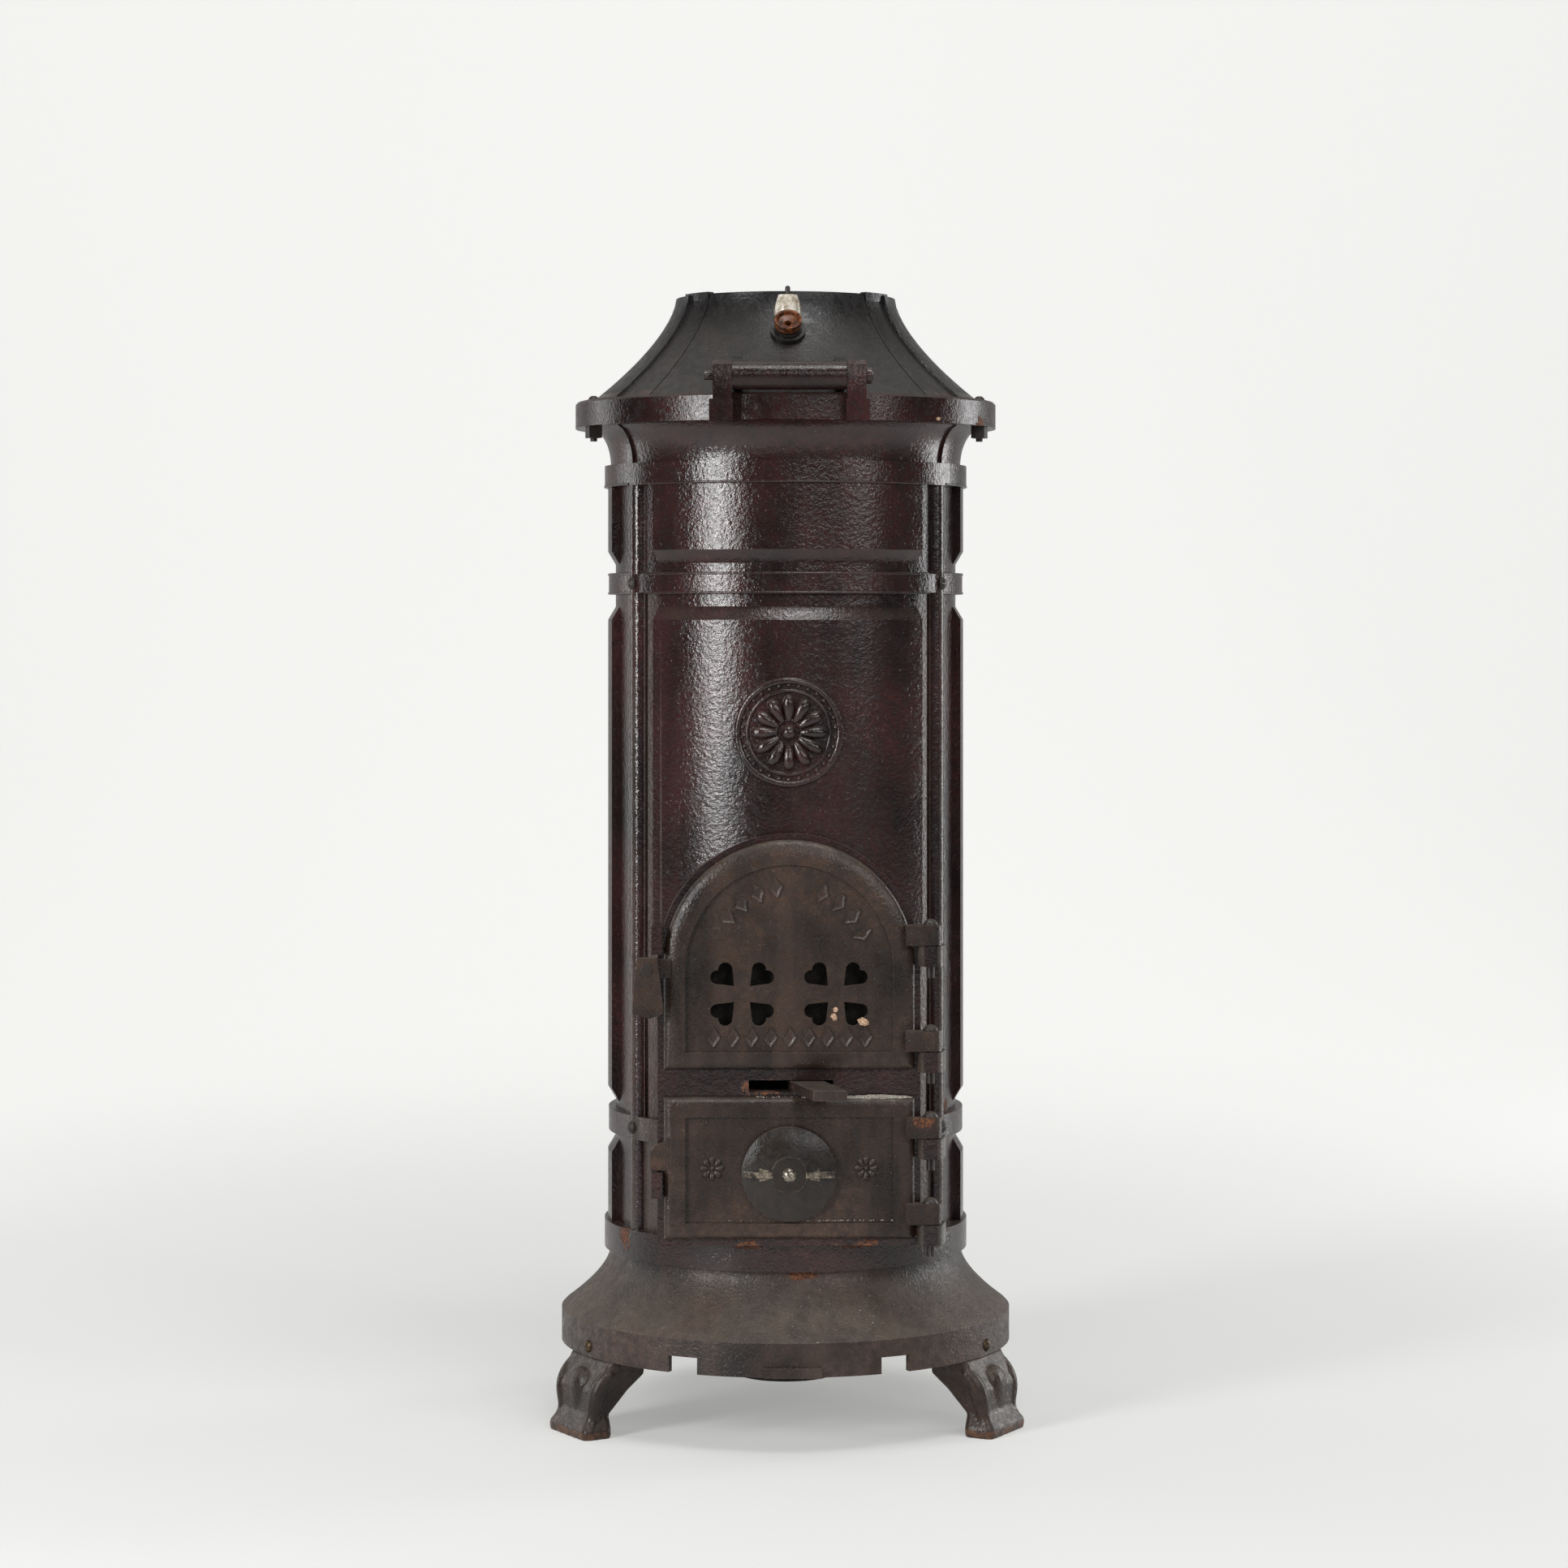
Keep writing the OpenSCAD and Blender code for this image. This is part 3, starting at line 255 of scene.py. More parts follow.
# ---------- shader tools ----------
class Net:
    """Short forms for wiring the nodes of one material or group."""

    def __init__(self, tree):
        self.tree = tree

    def add(self, kind, **settings):
        node = self.tree.nodes.new(kind)
        for key, value in settings.items():
            setattr(node, key, value)
        return node

    def put(self, socket, value):
        if isinstance(value, bpy.types.NodeSocket):
            self.tree.links.new(value, socket)
        else:
            socket.default_value = value

    def math(self, operation, a, b, clamp=False):
        node = self.add("ShaderNodeMath", operation=operation, use_clamp=clamp)
        self.put(node.inputs[0], a)
        self.put(node.inputs[1], b)
        return node.outputs[0]

    def spread(self, value, low, high, to_low=0.0, to_high=1.0):
        node = self.add("ShaderNodeMapRange", interpolation_type="SMOOTHSTEP")
        for socket, given in zip(node.inputs, (value, low, high, to_low, to_high)):
            self.put(socket, given)
        return node.outputs[0]

    def noise(self, vector, scale, detail, rough):
        node = self.add("ShaderNodeTexNoise")
        self.put(node.inputs["Vector"], vector)
        self.put(node.inputs["Scale"], scale)
        self.put(node.inputs["Detail"], detail)
        self.put(node.inputs["Roughness"], rough)
        return node.outputs[0]

    def mix(self, amount, a, b):
        node = self.add("ShaderNodeMix", data_type="RGBA")
        self.put(node.inputs["Factor"], amount)
        # A and B have sockets for each kind of value: 6 and 7 are the colours, 2 and 3 the floats
        self.put(node.inputs[6], a)
        self.put(node.inputs[7], b)
        return node.outputs[2]

    def blend(self, amount, a, b):
        node = self.add("ShaderNodeMix", data_type="FLOAT")
        self.put(node.inputs[0], amount)
        self.put(node.inputs[2], a)
        self.put(node.inputs[3], b)
        return node.outputs[0]

    def attribute(self, name):
        return self.add("ShaderNodeAttribute", attribute_name=name).outputs["Fac"]

    def use(self, group, **given):
        """Places a shared group and returns its outputs by name."""
        node = self.add("ShaderNodeGroup", node_tree=bpy.data.node_groups[group])
        for key, value in given.items():
            self.put(node.inputs[key], value)
        return node.outputs


def new_group(name, inputs, outputs):
    """An empty shader group with its sockets; returns its net, inputs and outputs."""
    tree = bpy.data.node_groups.new(name, "ShaderNodeTree")
    for sockets, side in ((inputs, "INPUT"), (outputs, "OUTPUT")):
        for label, kind in sockets.items():
            tree.interface.new_socket(label, in_out=side, socket_type="NodeSocket" + kind)
    net = Net(tree)
    return net, net.add("NodeGroupInput").outputs, net.add("NodeGroupOutput").inputs


def srgb(r, g, b):
    """A colour given as it is seen, 0 to 255, in linear light."""
    def linear(v):
        v /= 255
        return v / 12.92 if v <= 0.04045 else ((v + 0.055) / 1.055) ** 2.4
    return (linear(r), linear(g), linear(b), 1.0)


# ---------- shared effects ----------
def build_cast_skin():
    """Height of a sand-cast, lacquered surface: pebbles, finer grains and a few pits."""
    net, given, out = new_group("cast_skin", {"Vector": "Vector", "Grain": "Float"}, {"Height": "Float"})
    pebble = net.noise(given["Vector"], given["Grain"], 2.0, 0.5)
    fine = net.noise(given["Vector"], net.math("MULTIPLY", given["Grain"], 2.6), 2.0, 0.6)
    pits = net.spread(net.noise(given["Vector"], net.math("MULTIPLY", given["Grain"], 0.8), 2.0, 0.5),
                      0.30, 0.38)
    grain = net.math("ADD", net.math("MULTIPLY", pebble, 0.6), net.math("MULTIPLY", fine, 0.3))
    net.put(out["Height"], net.math("ADD", grain, net.math("MULTIPLY", pits, 0.12)))


def build_mottle():
    """Uneven colour of old lacquer: broad clouds, small blotches and runs down the sides."""
    net, given, out = new_group("lacquer_mottle", {"Vector": "Vector"},
                                {"Cloud": "Float", "Blotch": "Float", "Run": "Float"})
    stretch = net.add("ShaderNodeMapping")
    net.put(stretch.inputs["Vector"], given["Vector"])
    net.put(stretch.inputs["Scale"], (38.0, 38.0, 4.0))
    net.put(out["Cloud"], net.spread(net.noise(given["Vector"], 9.0, 4.0, 0.6), 0.32, 0.68))
    net.put(out["Blotch"], net.spread(net.noise(given["Vector"], 130.0, 6.0, 0.75), 0.38, 0.62))
    net.put(out["Run"], net.spread(net.noise(stretch.outputs[0], 1.0, 4.0, 0.6), 0.42, 0.7))


def build_rust_bloom():
    """Rust that breaks out in small islands; Amount moves from none at 0 to all over at 1."""
    net, given, out = new_group("rust_bloom", {"Vector": "Vector", "Amount": "Float", "Scale": "Float"},
                                {"Mask": "Float", "Tone": "Float"})
    islands = net.noise(given["Vector"], given["Scale"], 7.0, 0.68)
    edge = net.math("SUBTRACT", 0.78, net.math("MULTIPLY", given["Amount"], 0.5))
    net.put(out["Mask"], net.spread(islands, edge, net.math("ADD", edge, 0.06)))
    net.put(out["Tone"], net.noise(given["Vector"], 420.0, 4.0, 0.7))


def build_rust_spot():
    """One ragged patch of rust round a point."""
    net, given, out = new_group("rust_spot", {"Vector": "Vector", "Centre": "Vector", "Reach": "Vector"},
                                {"Mask": "Float"})
    offset = net.add("ShaderNodeVectorMath", operation="SUBTRACT")
    net.put(offset.inputs[0], given["Vector"])
    net.put(offset.inputs[1], given["Centre"])
    scaled = net.add("ShaderNodeVectorMath", operation="DIVIDE")
    net.put(scaled.inputs[0], offset.outputs[0])
    net.put(scaled.inputs[1], given["Reach"])
    length = net.add("ShaderNodeVectorMath", operation="LENGTH")
    net.put(length.inputs[0], scaled.outputs[0])
    ragged = net.math("MULTIPLY", net.noise(given["Vector"], 260.0, 5.0, 0.72), 2.2)
    broad = net.math("MULTIPLY", net.noise(given["Vector"], 70.0, 3.0, 0.6), 1.6)
    reach = net.math("SUBTRACT", net.math("ADD", ragged, broad), 0.8)
    net.put(out["Mask"], net.spread(net.math("SUBTRACT", reach, length.outputs["Value"]), 0.0, 0.25))


def build_dust():
    """Ash and dust that lies on what faces up, and specks of it caught there."""
    net, given, out = new_group("settled_dust", {"Vector": "Vector", "Normal": "Vector", "Amount": "Float",
                                                 "Clinging": "Float"},
                                {"Mask": "Float", "Speck": "Float"})
    split = net.add("ShaderNodeSeparateXYZ")
    net.put(split.inputs[0], given["Normal"])
    up = net.spread(split.outputs["Z"], 0.15, 0.95)
    cloud = net.spread(net.noise(given["Vector"], 45.0, 6.0, 0.7), 0.25, 0.7, 0.35, 1.0)
    powder = net.spread(net.noise(given["Vector"], 1100.0, 2.0, 0.6), 0.35, 0.7, 0.5, 1.0)
    lying = net.math("MULTIPLY", net.math("MULTIPLY", up, cloud), powder)
    lying = net.math("MULTIPLY", lying, given["Amount"])
    clinging = net.math("MULTIPLY", net.math("MULTIPLY", given["Clinging"], cloud), powder)
    net.put(out["Mask"], net.math("MAXIMUM", lying, clinging, clamp=True))
    specks = net.spread(net.noise(given["Vector"], 620.0, 2.0, 0.5), 0.725, 0.755)
    there = net.spread(net.noise(given["Vector"], 30.0, 2.0, 0.5), 0.45, 0.62)
    caught = net.math("MULTIPLY", net.math("ADD", net.math("MULTIPLY", up, 1.5), there), given["Amount"])
    net.put(out["Speck"], net.math("MULTIPLY", specks, caught, clamp=True))


def build_edge_wear_and_highlight():
    """Lightens the rounded arrises in broken lengths: partly handling rubs them, partly it paints a
    highlight along them.
    """
    net, given, out = new_group("edge_wear_and_highlight", {"Vector": "Vector", "Worn": "Float", "Amount": "Float"},
                                {"Mask": "Float"})
    broken = net.spread(net.noise(given["Vector"], 120.0, 5.0, 0.7), 0.38, 0.62)
    net.put(out["Mask"], net.math("MULTIPLY", net.math("MULTIPLY", given["Worn"], broken), given["Amount"]))


for build in (build_cast_skin, build_mottle, build_rust_bloom, build_rust_spot, build_dust,
              build_edge_wear_and_highlight):
    build()


# ---------- finishes ----------
RUST_DARK, RUST_LIGHT = srgb(50, 28, 19), srgb(138, 84, 52)
DUST_TONE = srgb(132, 122, 110)
SPECK_TONE = srgb(205, 202, 194)


def iron(name, dark, light, gloss, grain, depth, rust, dust, wear_and_highlight, spots=(), shine=0.5,
         worn_and_highlight_tone=srgb(92, 84, 80), band=None):
    """Old cast iron. gloss is its range of roughness, grain its pebbles in a metre, depth their height.
    rust, dust and wear are amounts from 0 to 1, and spots are places with a rust patch of their own.
    wear lightens the rounded arrises in broken lengths, partly rubbed wear and partly a painted highlight.
    band gives the tones and roughness of the faces that are marked with it."""
    material = bpy.data.materials.new(name)
    material.use_nodes = True
    net = Net(material.node_tree)
    shader = material.node_tree.nodes["Principled BSDF"]
    shader.inputs["Specular IOR Level"].default_value = shine
    where = net.add("ShaderNodeTexCoord").outputs
    place = where["Object"]
    mottle = net.use("lacquer_mottle", Vector=place)
    low, high = gloss
    if band:
        on_band = net.attribute("band")
        dark, light = net.mix(on_band, dark, band[0]), net.mix(on_band, light, band[1])
        low, high = net.blend(on_band, low, band[2][0]), net.blend(on_band, high, band[2][1])
    colour = net.mix(mottle["Cloud"], dark, light)
    colour = net.mix(net.math("MULTIPLY", mottle["Blotch"], 0.65), colour, dark)
    colour = net.mix(net.math("MULTIPLY", mottle["Run"], 0.35), colour, light)
    rough = net.spread(mottle["Blotch"], 0.0, 1.0, low, high)
    # The lighter edge tone is partly rubbed wear and partly a painted highlight on the rounded arrises
    wear_and_highlight_mask = net.use("edge_wear_and_highlight", Vector=place, Worn=net.attribute("worn_and_glinting"), Amount=wear_and_highlight)["Mask"]
    colour = net.mix(wear_and_highlight_mask, colour, worn_and_highlight_tone)
    rough = net.blend(wear_and_highlight_mask, rough, 0.4)
    bloom = net.use("rust_bloom", Vector=place, Amount=rust, Scale=60.0)
    rust_mask = bloom["Mask"]
    for centre, reach in spots:
        patch = net.use("rust_spot", Vector=place, Centre=centre, Reach=reach)
        rust_mask = net.math("MAXIMUM", rust_mask, patch["Mask"])
    rust_colour = net.mix(net.spread(bloom["Tone"], 0.38, 0.68), RUST_DARK, RUST_LIGHT)
    colour = net.mix(net.math("MULTIPLY", rust_mask, 0.9), colour, rust_colour)
    rough = net.blend(rust_mask, rough, 0.85)
    lying = net.use("settled_dust", Vector=place, Normal=where["Normal"], Amount=dust,
                    Clinging=net.math("MULTIPLY", net.attribute("dusty"), 0.3))
    colour = net.mix(lying["Mask"], colour, DUST_TONE)
    colour = net.mix(lying["Speck"], colour, SPECK_TONE)
    rough = net.blend(lying["Mask"], rough, 0.85)
    skin = net.use("cast_skin", Vector=place, Grain=grain)["Height"]
    crust = net.math("MULTIPLY", rust_mask, net.math("MULTIPLY", bloom["Tone"], 0.5))
    height = net.math("ADD", skin, crust)
    bump = net.add("ShaderNodeBump")
    bump.inputs["Strength"].default_value = 1.0
    bump.inputs["Distance"].default_value = depth
    net.put(bump.inputs["Height"], height)
    net.put(shader.inputs["Base Color"], colour)
    net.put(shader.inputs["Roughness"], rough)
    net.put(shader.inputs["Normal"], bump.outputs[0])
    return material


def plain_finish(name, dark, light, rough, metal, scale, depth=0.2 * MM, grain=500.0):
    """A simpler mottled finish for bricks, bare metal and the china; scale is its blotches in a metre."""
    material = bpy.data.materials.new(name)
    material.use_nodes = True
    net = Net(material.node_tree)
    shader = material.node_tree.nodes["Principled BSDF"]
    place = net.add("ShaderNodeTexCoord").outputs["Object"]
    tone = net.spread(net.noise(place, scale, 6.0, 0.65), 0.34, 0.68)
    net.put(shader.inputs["Base Color"], net.mix(tone, dark, light))
    net.put(shader.inputs["Roughness"], net.spread(tone, 0.0, 1.0, rough[0], rough[1]))
    shader.inputs["Metallic"].default_value = metal
    bump = net.add("ShaderNodeBump")
    bump.inputs["Distance"].default_value = depth
    net.put(bump.inputs["Height"], net.use("cast_skin", Vector=place, Grain=grain)["Height"])
    net.put(shader.inputs["Normal"], bump.outputs[0])
    return material


def spot(x, y, z, wide, high):
    """Centre and reach of a rust patch, given in millimetres."""
    return (x * MM, y * MM, z * MM), (wide * MM, wide * MM, high * MM)


# Rust along the body's foot, at the ash door's hinges, in the lever's slot and on the lower rail
BODY_SPOTS = [spot(-140, -76, 166, 9, 12), spot(-36, -156, 171, 16, 5), spot(62, -147, 172, 24, 7),
              spot(126, -160, 208, 6, 16), spot(112, -170, 186, 7, 8), spot(-24, -162, 305, 15, 7),
              spot(141, -60, 276, 5, 7)]
BROWN_DARK, BROWN_LIGHT = srgb(18, 9, 9), srgb(62, 33, 32)
# In each finish the edge tone and its amount paint a highlight along the rounded arrises as well as rubbed
# wear
FINISHES = {
    "body_iron": iron("body_lacquer", BROWN_DARK, BROWN_LIGHT, (0.10, 0.22), 300.0, 0.65 * MM,
                      rust=0.06, dust=0.3, wear_and_highlight=0.55, spots=BODY_SPOTS, shine=0.7,
                      worn_and_highlight_tone=srgb(104, 94, 90)),
    "top_iron": iron("top_grey_iron", srgb(13, 12, 13), srgb(36, 33, 34), (0.26, 0.44), 360.0, 0.5 * MM,
                     rust=0.04, dust=0.2, wear_and_highlight=0.6, spots=[spot(163, -80, 868, 8, 8)],
                     worn_and_highlight_tone=srgb(118, 114, 112), band=(BROWN_DARK, BROWN_LIGHT, (0.12, 0.28))),
    "base_iron": iron("base_dusty_iron", srgb(26, 18, 16), srgb(84, 66, 57), (0.26, 0.46), 420.0, 1.0 * MM,
                      rust=0.14, dust=0.5, wear_and_highlight=0.6, spots=[spot(10, -156, 144, 12, 4)]),
    "door_iron": iron("door_brown_iron", srgb(24, 17, 14), srgb(82, 62, 51), (0.18, 0.36), 420.0, 0.7 * MM,
                      rust=0.06, dust=0.4, wear_and_highlight=0.5, spots=[spot(112, -187, 279, 10, 7)]),
    "hinge_iron": iron("hinge_iron", srgb(32, 25, 23), srgb(48, 40, 36), (0.34, 0.5), 400.0, 0.3 * MM,
                       rust=0.12, dust=0.35, wear_and_highlight=0.7),
    "inner_iron": iron("sooty_iron", srgb(20, 17, 15), srgb(38, 31, 26), (0.7, 0.9), 300.0, 0.5 * MM,
                       rust=0.35, dust=0.4, wear_and_highlight=0.2),
    "grate_iron": iron("grate_iron", srgb(36, 27, 22), srgb(64, 46, 36), (0.7, 0.9), 300.0, 0.6 * MM,
                       rust=0.5, dust=0.6, wear_and_highlight=0.2),
    "lever_iron": iron("lever_iron", srgb(36, 27, 23), srgb(72, 56, 47), (0.4, 0.65), 350.0, 0.4 * MM,
                       rust=0.3, dust=0.4, wear_and_highlight=0.8, worn_and_highlight_tone=srgb(120, 104, 92)),
    "flue_iron": iron("flue_iron", srgb(28, 21, 20), srgb(46, 35, 33), (0.36, 0.52), 320.0, 0.5 * MM,
                      rust=0.25, dust=0.3, wear_and_highlight=0.5),
    "foot_screw_brass": plain_finish("old_brass", srgb(44, 34, 24), srgb(104, 86, 60), (0.3, 0.5), 0.7,
                                     300.0),
    "fire_brick": plain_finish("fired_clay", srgb(104, 84, 66), srgb(160, 136, 110), (0.85, 0.95), 0.0,
                               60.0, 0.8 * MM, 260.0),
    "pan_steel": plain_finish("grey_sheet", srgb(58, 52, 48), srgb(96, 84, 74), (0.5, 0.75), 0.3, 50.0),
    "knob_rust": plain_finish("amber_rust", srgb(46, 22, 12), srgb(128, 70, 30), (0.2, 0.5), 0.1, 260.0),
    "knob_china": plain_finish("stained_china", srgb(140, 124, 104), srgb(226, 220, 206), (0.12, 0.3), 0.0,
                               120.0, 0.03 * MM),
}
# Finishes of single pieces that differ from the rest of their slot
FOOT_BROWN = iron("foot_brown_iron", srgb(26, 17, 13), srgb(62, 44, 35), (0.24, 0.42), 320.0, 0.8 * MM,
                  rust=0.25, dust=0.35, wear_and_highlight=0.6, worn_and_highlight_tone=srgb(120, 80, 52))
OWN_FINISH = {
    "fill_hinge_pin": iron("bar_lacquer", BROWN_DARK, BROWN_LIGHT, (0.16, 0.32), 320.0, 0.7 * MM,
                           rust=0.08, dust=0.3, wear_and_highlight=0.4, shine=0.7),
    "draught_screw": plain_finish("bright_screw", srgb(92, 84, 72), srgb(196, 188, 172), (0.2, 0.4), 0.8,
                                  500.0),
    "draught_disc": iron("disc_iron", srgb(26, 20, 18), srgb(52, 44, 38), (0.22, 0.38), 420.0, 0.3 * MM,
                         rust=0.04, dust=0.3, wear_and_highlight=0.9, worn_and_highlight_tone=srgb(150, 138, 120)),
    "foot_left": FOOT_BROWN, "foot_right": FOOT_BROWN, "foot_rear": FOOT_BROWN,
    "ash": plain_finish("pale_ash", srgb(96, 90, 80), srgb(214, 208, 196), (0.85, 0.95), 0.0, 900.0,
                        0.6 * MM, 1200.0),
    "clay_chips": plain_finish("clay_chips", srgb(150, 104, 70), srgb(224, 196, 168), (0.8, 0.95), 0.0,
                               500.0, 0.4 * MM, 900.0),
}


def finish_with(piece, slot, own=None):
    """Gives a piece the finish kept for its node or kind, or else its slot's."""
    piece.data.materials.clear()
    piece.data.materials.append(OWN_FINISH.get(own) or FINISHES[slot])


# ---------- camera, light and floor ----------
def build_camera():
    """A level long lens, a little left of the stove's axis."""
    distance, eye, turn = 3.5, 0.702, math.radians(1.0)
    data = bpy.data.cameras.new("studio_camera")
    data.sensor_width = 36.0
    data.lens = 90.6
    data.shift_x, data.shift_y = -0.001, -0.1066
    camera = bpy.data.objects.new("studio_camera", data)
    camera.location = (-distance * math.sin(turn), -distance * math.cos(turn), eye)
    camera.rotation_euler = (QUARTER, 0, -turn)
    bpy.context.scene.collection.objects.link(camera)
    bpy.context.scene.camera = camera


def softbox(name, place, aim, width, height, power):
    """A rectangular light that points from its place at a target."""
    data = bpy.data.lights.new(name, "AREA")
    data.shape = "RECTANGLE"
    data.size, data.size_y = width, height
    data.energy = power
    light = bpy.data.objects.new(name, data)
    light.location = place
    light.rotation_euler = (Vector(aim) - Vector(place)).to_track_quat("-Z", "Y").to_euler()
    bpy.context.scene.collection.objects.link(light)


def build_floor():
    """A pale seamless floor that curves up behind."""
    width, depth, bend, wall, steps = 18.0, 7.5, 2.0, 5.0, 10
    bpy.ops.object.select_all(action="DESELECT")
    bpy.ops.mesh.primitive_plane_add(size=1, location=(0, -1.25, 0))
    floor = added()
    floor.name = "studio_floor"
    floor.scale = (width, depth, 1.0)
    settle(floor)
    bpy.ops.object.mode_set(mode="EDIT")
    bpy.ops.mesh.select_all(action="DESELECT")
    bpy.ops.object.mode_set(mode="OBJECT")
    back = max(v.co.y for v in floor.data.vertices)
    for edge in floor.data.edges:
        edge.select = all(floor.data.vertices[i].co.y > back - 0.01 for i in edge.vertices)
    bpy.ops.object.mode_set(mode="EDIT")
    turns = [math.radians(90 * i / steps) for i in range(steps + 1)]
    for low, high in zip(turns, turns[1:]):
        bpy.ops.mesh.extrude_region_move(TRANSFORM_OT_translate={"value": (
            0, bend * (math.sin(high) - math.sin(low)), bend * (math.cos(low) - math.cos(high)))})
    bpy.ops.mesh.extrude_region_move(TRANSFORM_OT_translate={"value": (0, 0, wall)})
    bpy.ops.object.mode_set(mode="OBJECT")
    smooth(floor)
    paint = bpy.data.materials.new("studio_white")
    paint.use_nodes = True
    shader = paint.node_tree.nodes["Principled BSDF"]
    shader.inputs["Base Color"].default_value = (0.6, 0.6, 0.59, 1.0)
    shader.inputs["Roughness"].default_value = 0.7
    net = Net(paint.node_tree)
    away = net.add("ShaderNodeVectorMath", operation="LENGTH")
    net.put(away.inputs[0], net.add("ShaderNodeTexCoord").outputs["Object"])
    # The floor's glow is painted light: to the camera it is weaker near the stove, a painted shade round
    # it, and brighter away from it, up to the white of the air, but it lights the stove evenly
    painted_glow = net.spread(away.outputs["Value"], 0.5, 3.0, 0.31, 0.64)
    seen = net.add("ShaderNodeLightPath").outputs["Is Camera Ray"]
    shader.inputs["Emission Color"].default_value = (1.0, 1.0, 0.98, 1.0)
    net.put(shader.inputs["Emission Strength"], net.blend(seen, 0.12, painted_glow))
    floor.data.materials.append(paint)


def build_studio():
    """Soft light: a key on the left, a weak box on the right, a fill in front, two behind, two above."""
    world = bpy.data.worlds.new("studio_air")
    world.use_nodes = True
    net = Net(world.node_tree)
    air = world.node_tree.nodes["Background"]
    air.inputs["Color"].default_value = (1.0, 1.0, 0.985, 1.0)
    seen = net.add("ShaderNodeLightPath").outputs["Is Camera Ray"]
    net.put(air.inputs["Strength"], net.blend(seen, 0.09, 0.87))  # near white to look at, dim as a light
    bpy.context.scene.world = world
    softbox("key_box", (-2.0, -2.0, 1.2), (0, 0, 0.9), 0.6, 1.4, 50)
    softbox("right_box", (2.1, -1.9, 1.5), (0, 0, 0.85), 0.4, 0.9, 9)
    softbox("front_box", (1.3, -3.7, 2.2), (0, 0, 0.5), 2.2, 1.2, 32)
    softbox("left_rim", (-2.5, 1.3, 0.9), (0, 0, 0.6), 0.8, 1.8, 12)
    softbox("right_rim", (2.5, 1.2, 0.9), (0, 0, 0.6), 0.8, 1.8, 27)
    softbox("crest_box", (0.25, -0.9, 2.7), (0, 0, 0.6), 1.0, 0.7, 16)
    softbox("top_box", (0.0, 0.6, 3.4), (0, 0.6, 0.0), 4.0, 3.4, 20)
    bpy.context.scene.view_settings.view_transform = "Standard"


build_camera()
build_floor()
build_studio()

# ---------- castings with rounded arrises ----------
ARRIS = {
    "base_ring": 1.6, "front_panel": 0.8, "left_panel": 0.8, "right_panel": 0.8, "cornice": 1.0,
    "top_cone": 1.1, "fill_door": 1.1, "fire_door": 1.3, "ash_door": 1.3, "latch_handle": 1.0,
    "shaker_lever": 1.8, "draught_disc": 0.7, "flue_collar": 1.2, "fire_pin_upper": 0.3,
    "fire_pin_lower": 0.3, "ash_pin_upper": 0.3, "ash_pin_lower": 0.3, "foot_screws": 0.4,
    "panel_screws": 0.4, "flange_bolts": 0.4, "flange_nuts": 0.6, "fill_hinge_pin": 0.4,
    "draught_screw": 0.4, "knob_cup": 0.3, "knob_shell": 0.4, "knob_stud": 0.3, "latch_rivet": 0.4,
    "ash_dish": 1.0, "fire_grate": 0.8, "lever_bolts": 0.4,
}                                                   # radii in millimetres
castings = {node: casting(node, edge * MM) for node, edge in ARRIS.items()}


def on_flange(c, n):
    """The cone's flange and the fill door's hinge posts are lacquered brown, the cone above is grey."""
    return c.z < FLANGE_TOP + 1.5 * MM or c.y < POST_FRONT


def on_barrel(c, n):
    """The barrel of the fill door is brown, and its lid is grey."""
    return math.hypot(c.y - BARREL_Y, c.z - BARREL_Z) < BARREL_R


def on_thumb_rib(c, n):
    """Thumbs have rubbed the two ribs of the draught disc."""
    return abs(c.z - DISC_MID.z) < 4 * MM and abs(c.x) > 22 * MM and c.y < DISC_MID.y - 1 * MM


def on_frame_side(c, n):
    """Dust clings to the sides and ledges of the door frame."""
    in_frame = c.y < -80 * MM and abs(c.x) > 80 * MM and ASH_LOW.z < c.z < FIRE_HIGH.z
    return in_frame and (abs(n.x) > 0.5 or n.z > 0.5)


mark(castings["top_cone"], "band", on_flange)
mark(castings["fill_door"], "band", on_barrel)
mark(castings["draught_disc"], "worn_and_glinting", on_thumb_rib)
mark(castings["front_panel"], "dusty", on_frame_side)


# ---------- feet ----------
# A foot's rib from the apron to the toe, in millimetres: from the middle, out of the apron, height, radius
FOOT_RIB = [(34, -4, 56, 5.5), (31, 5, 48, 7), (30, 9, 36, 7.5), (26, 9, 24, 6), (25, 11, 14, 5),
            (31, 17, 5, 4), (33, 17, 4, 3.6)]


def cabriole(node, turn):
    """A cast foot with a drop-shaped boss between two ribs that flare to the toe."""
    foot = copy_of(node)
    shapes = [petal((0, -APRON_R - 7 * MM, 32 * MM), (15 * MM, 9 * MM, 25 * MM), 0.75)]
    for side in (-1, 1):
        shapes.append(rope([(side * x * MM, -APRON_R - y * MM, z * MM) for x, y, z, _ in FOOT_RIB],
                           [thick * MM for _, _, _, thick in FOOT_RIB]))
    for shape in shapes:
        shape.rotation_euler = (0, 0, math.radians(turn))
        settle(shape)
    foot = join([foot] + shapes, "cast_" + node)
    apply_modifier(foot, "skin", "REMESH", mode="VOXEL", voxel_size=1.5 * MM)
    apply_modifier(foot, "ease", "SMOOTH", factor=0.5, iterations=3)
    for vertex in foot.data.vertices:
        vertex.co.z = max(vertex.co.z, 0.0)
    smooth(foot, 60)
    mark(foot, "worn_and_glinting", lambda c, n: c.z < 7 * MM and n.z > -0.5)
    return stand_for(foot, node)


for node, turn in FOOT_TURNS.items():
    cabriole(node, turn)


# ---------- cast ornaments ----------
def ring_places(centre, radius, count, turned):
    """Even places round a circle that faces the front, each turned outwards or left upright."""
    x, y, z = centre
    turns = [2 * math.pi * i / count for i in range(count)]
    return [((x + radius * math.sin(t), y, z + radius * math.cos(t)), t if turned else 0) for t in turns]


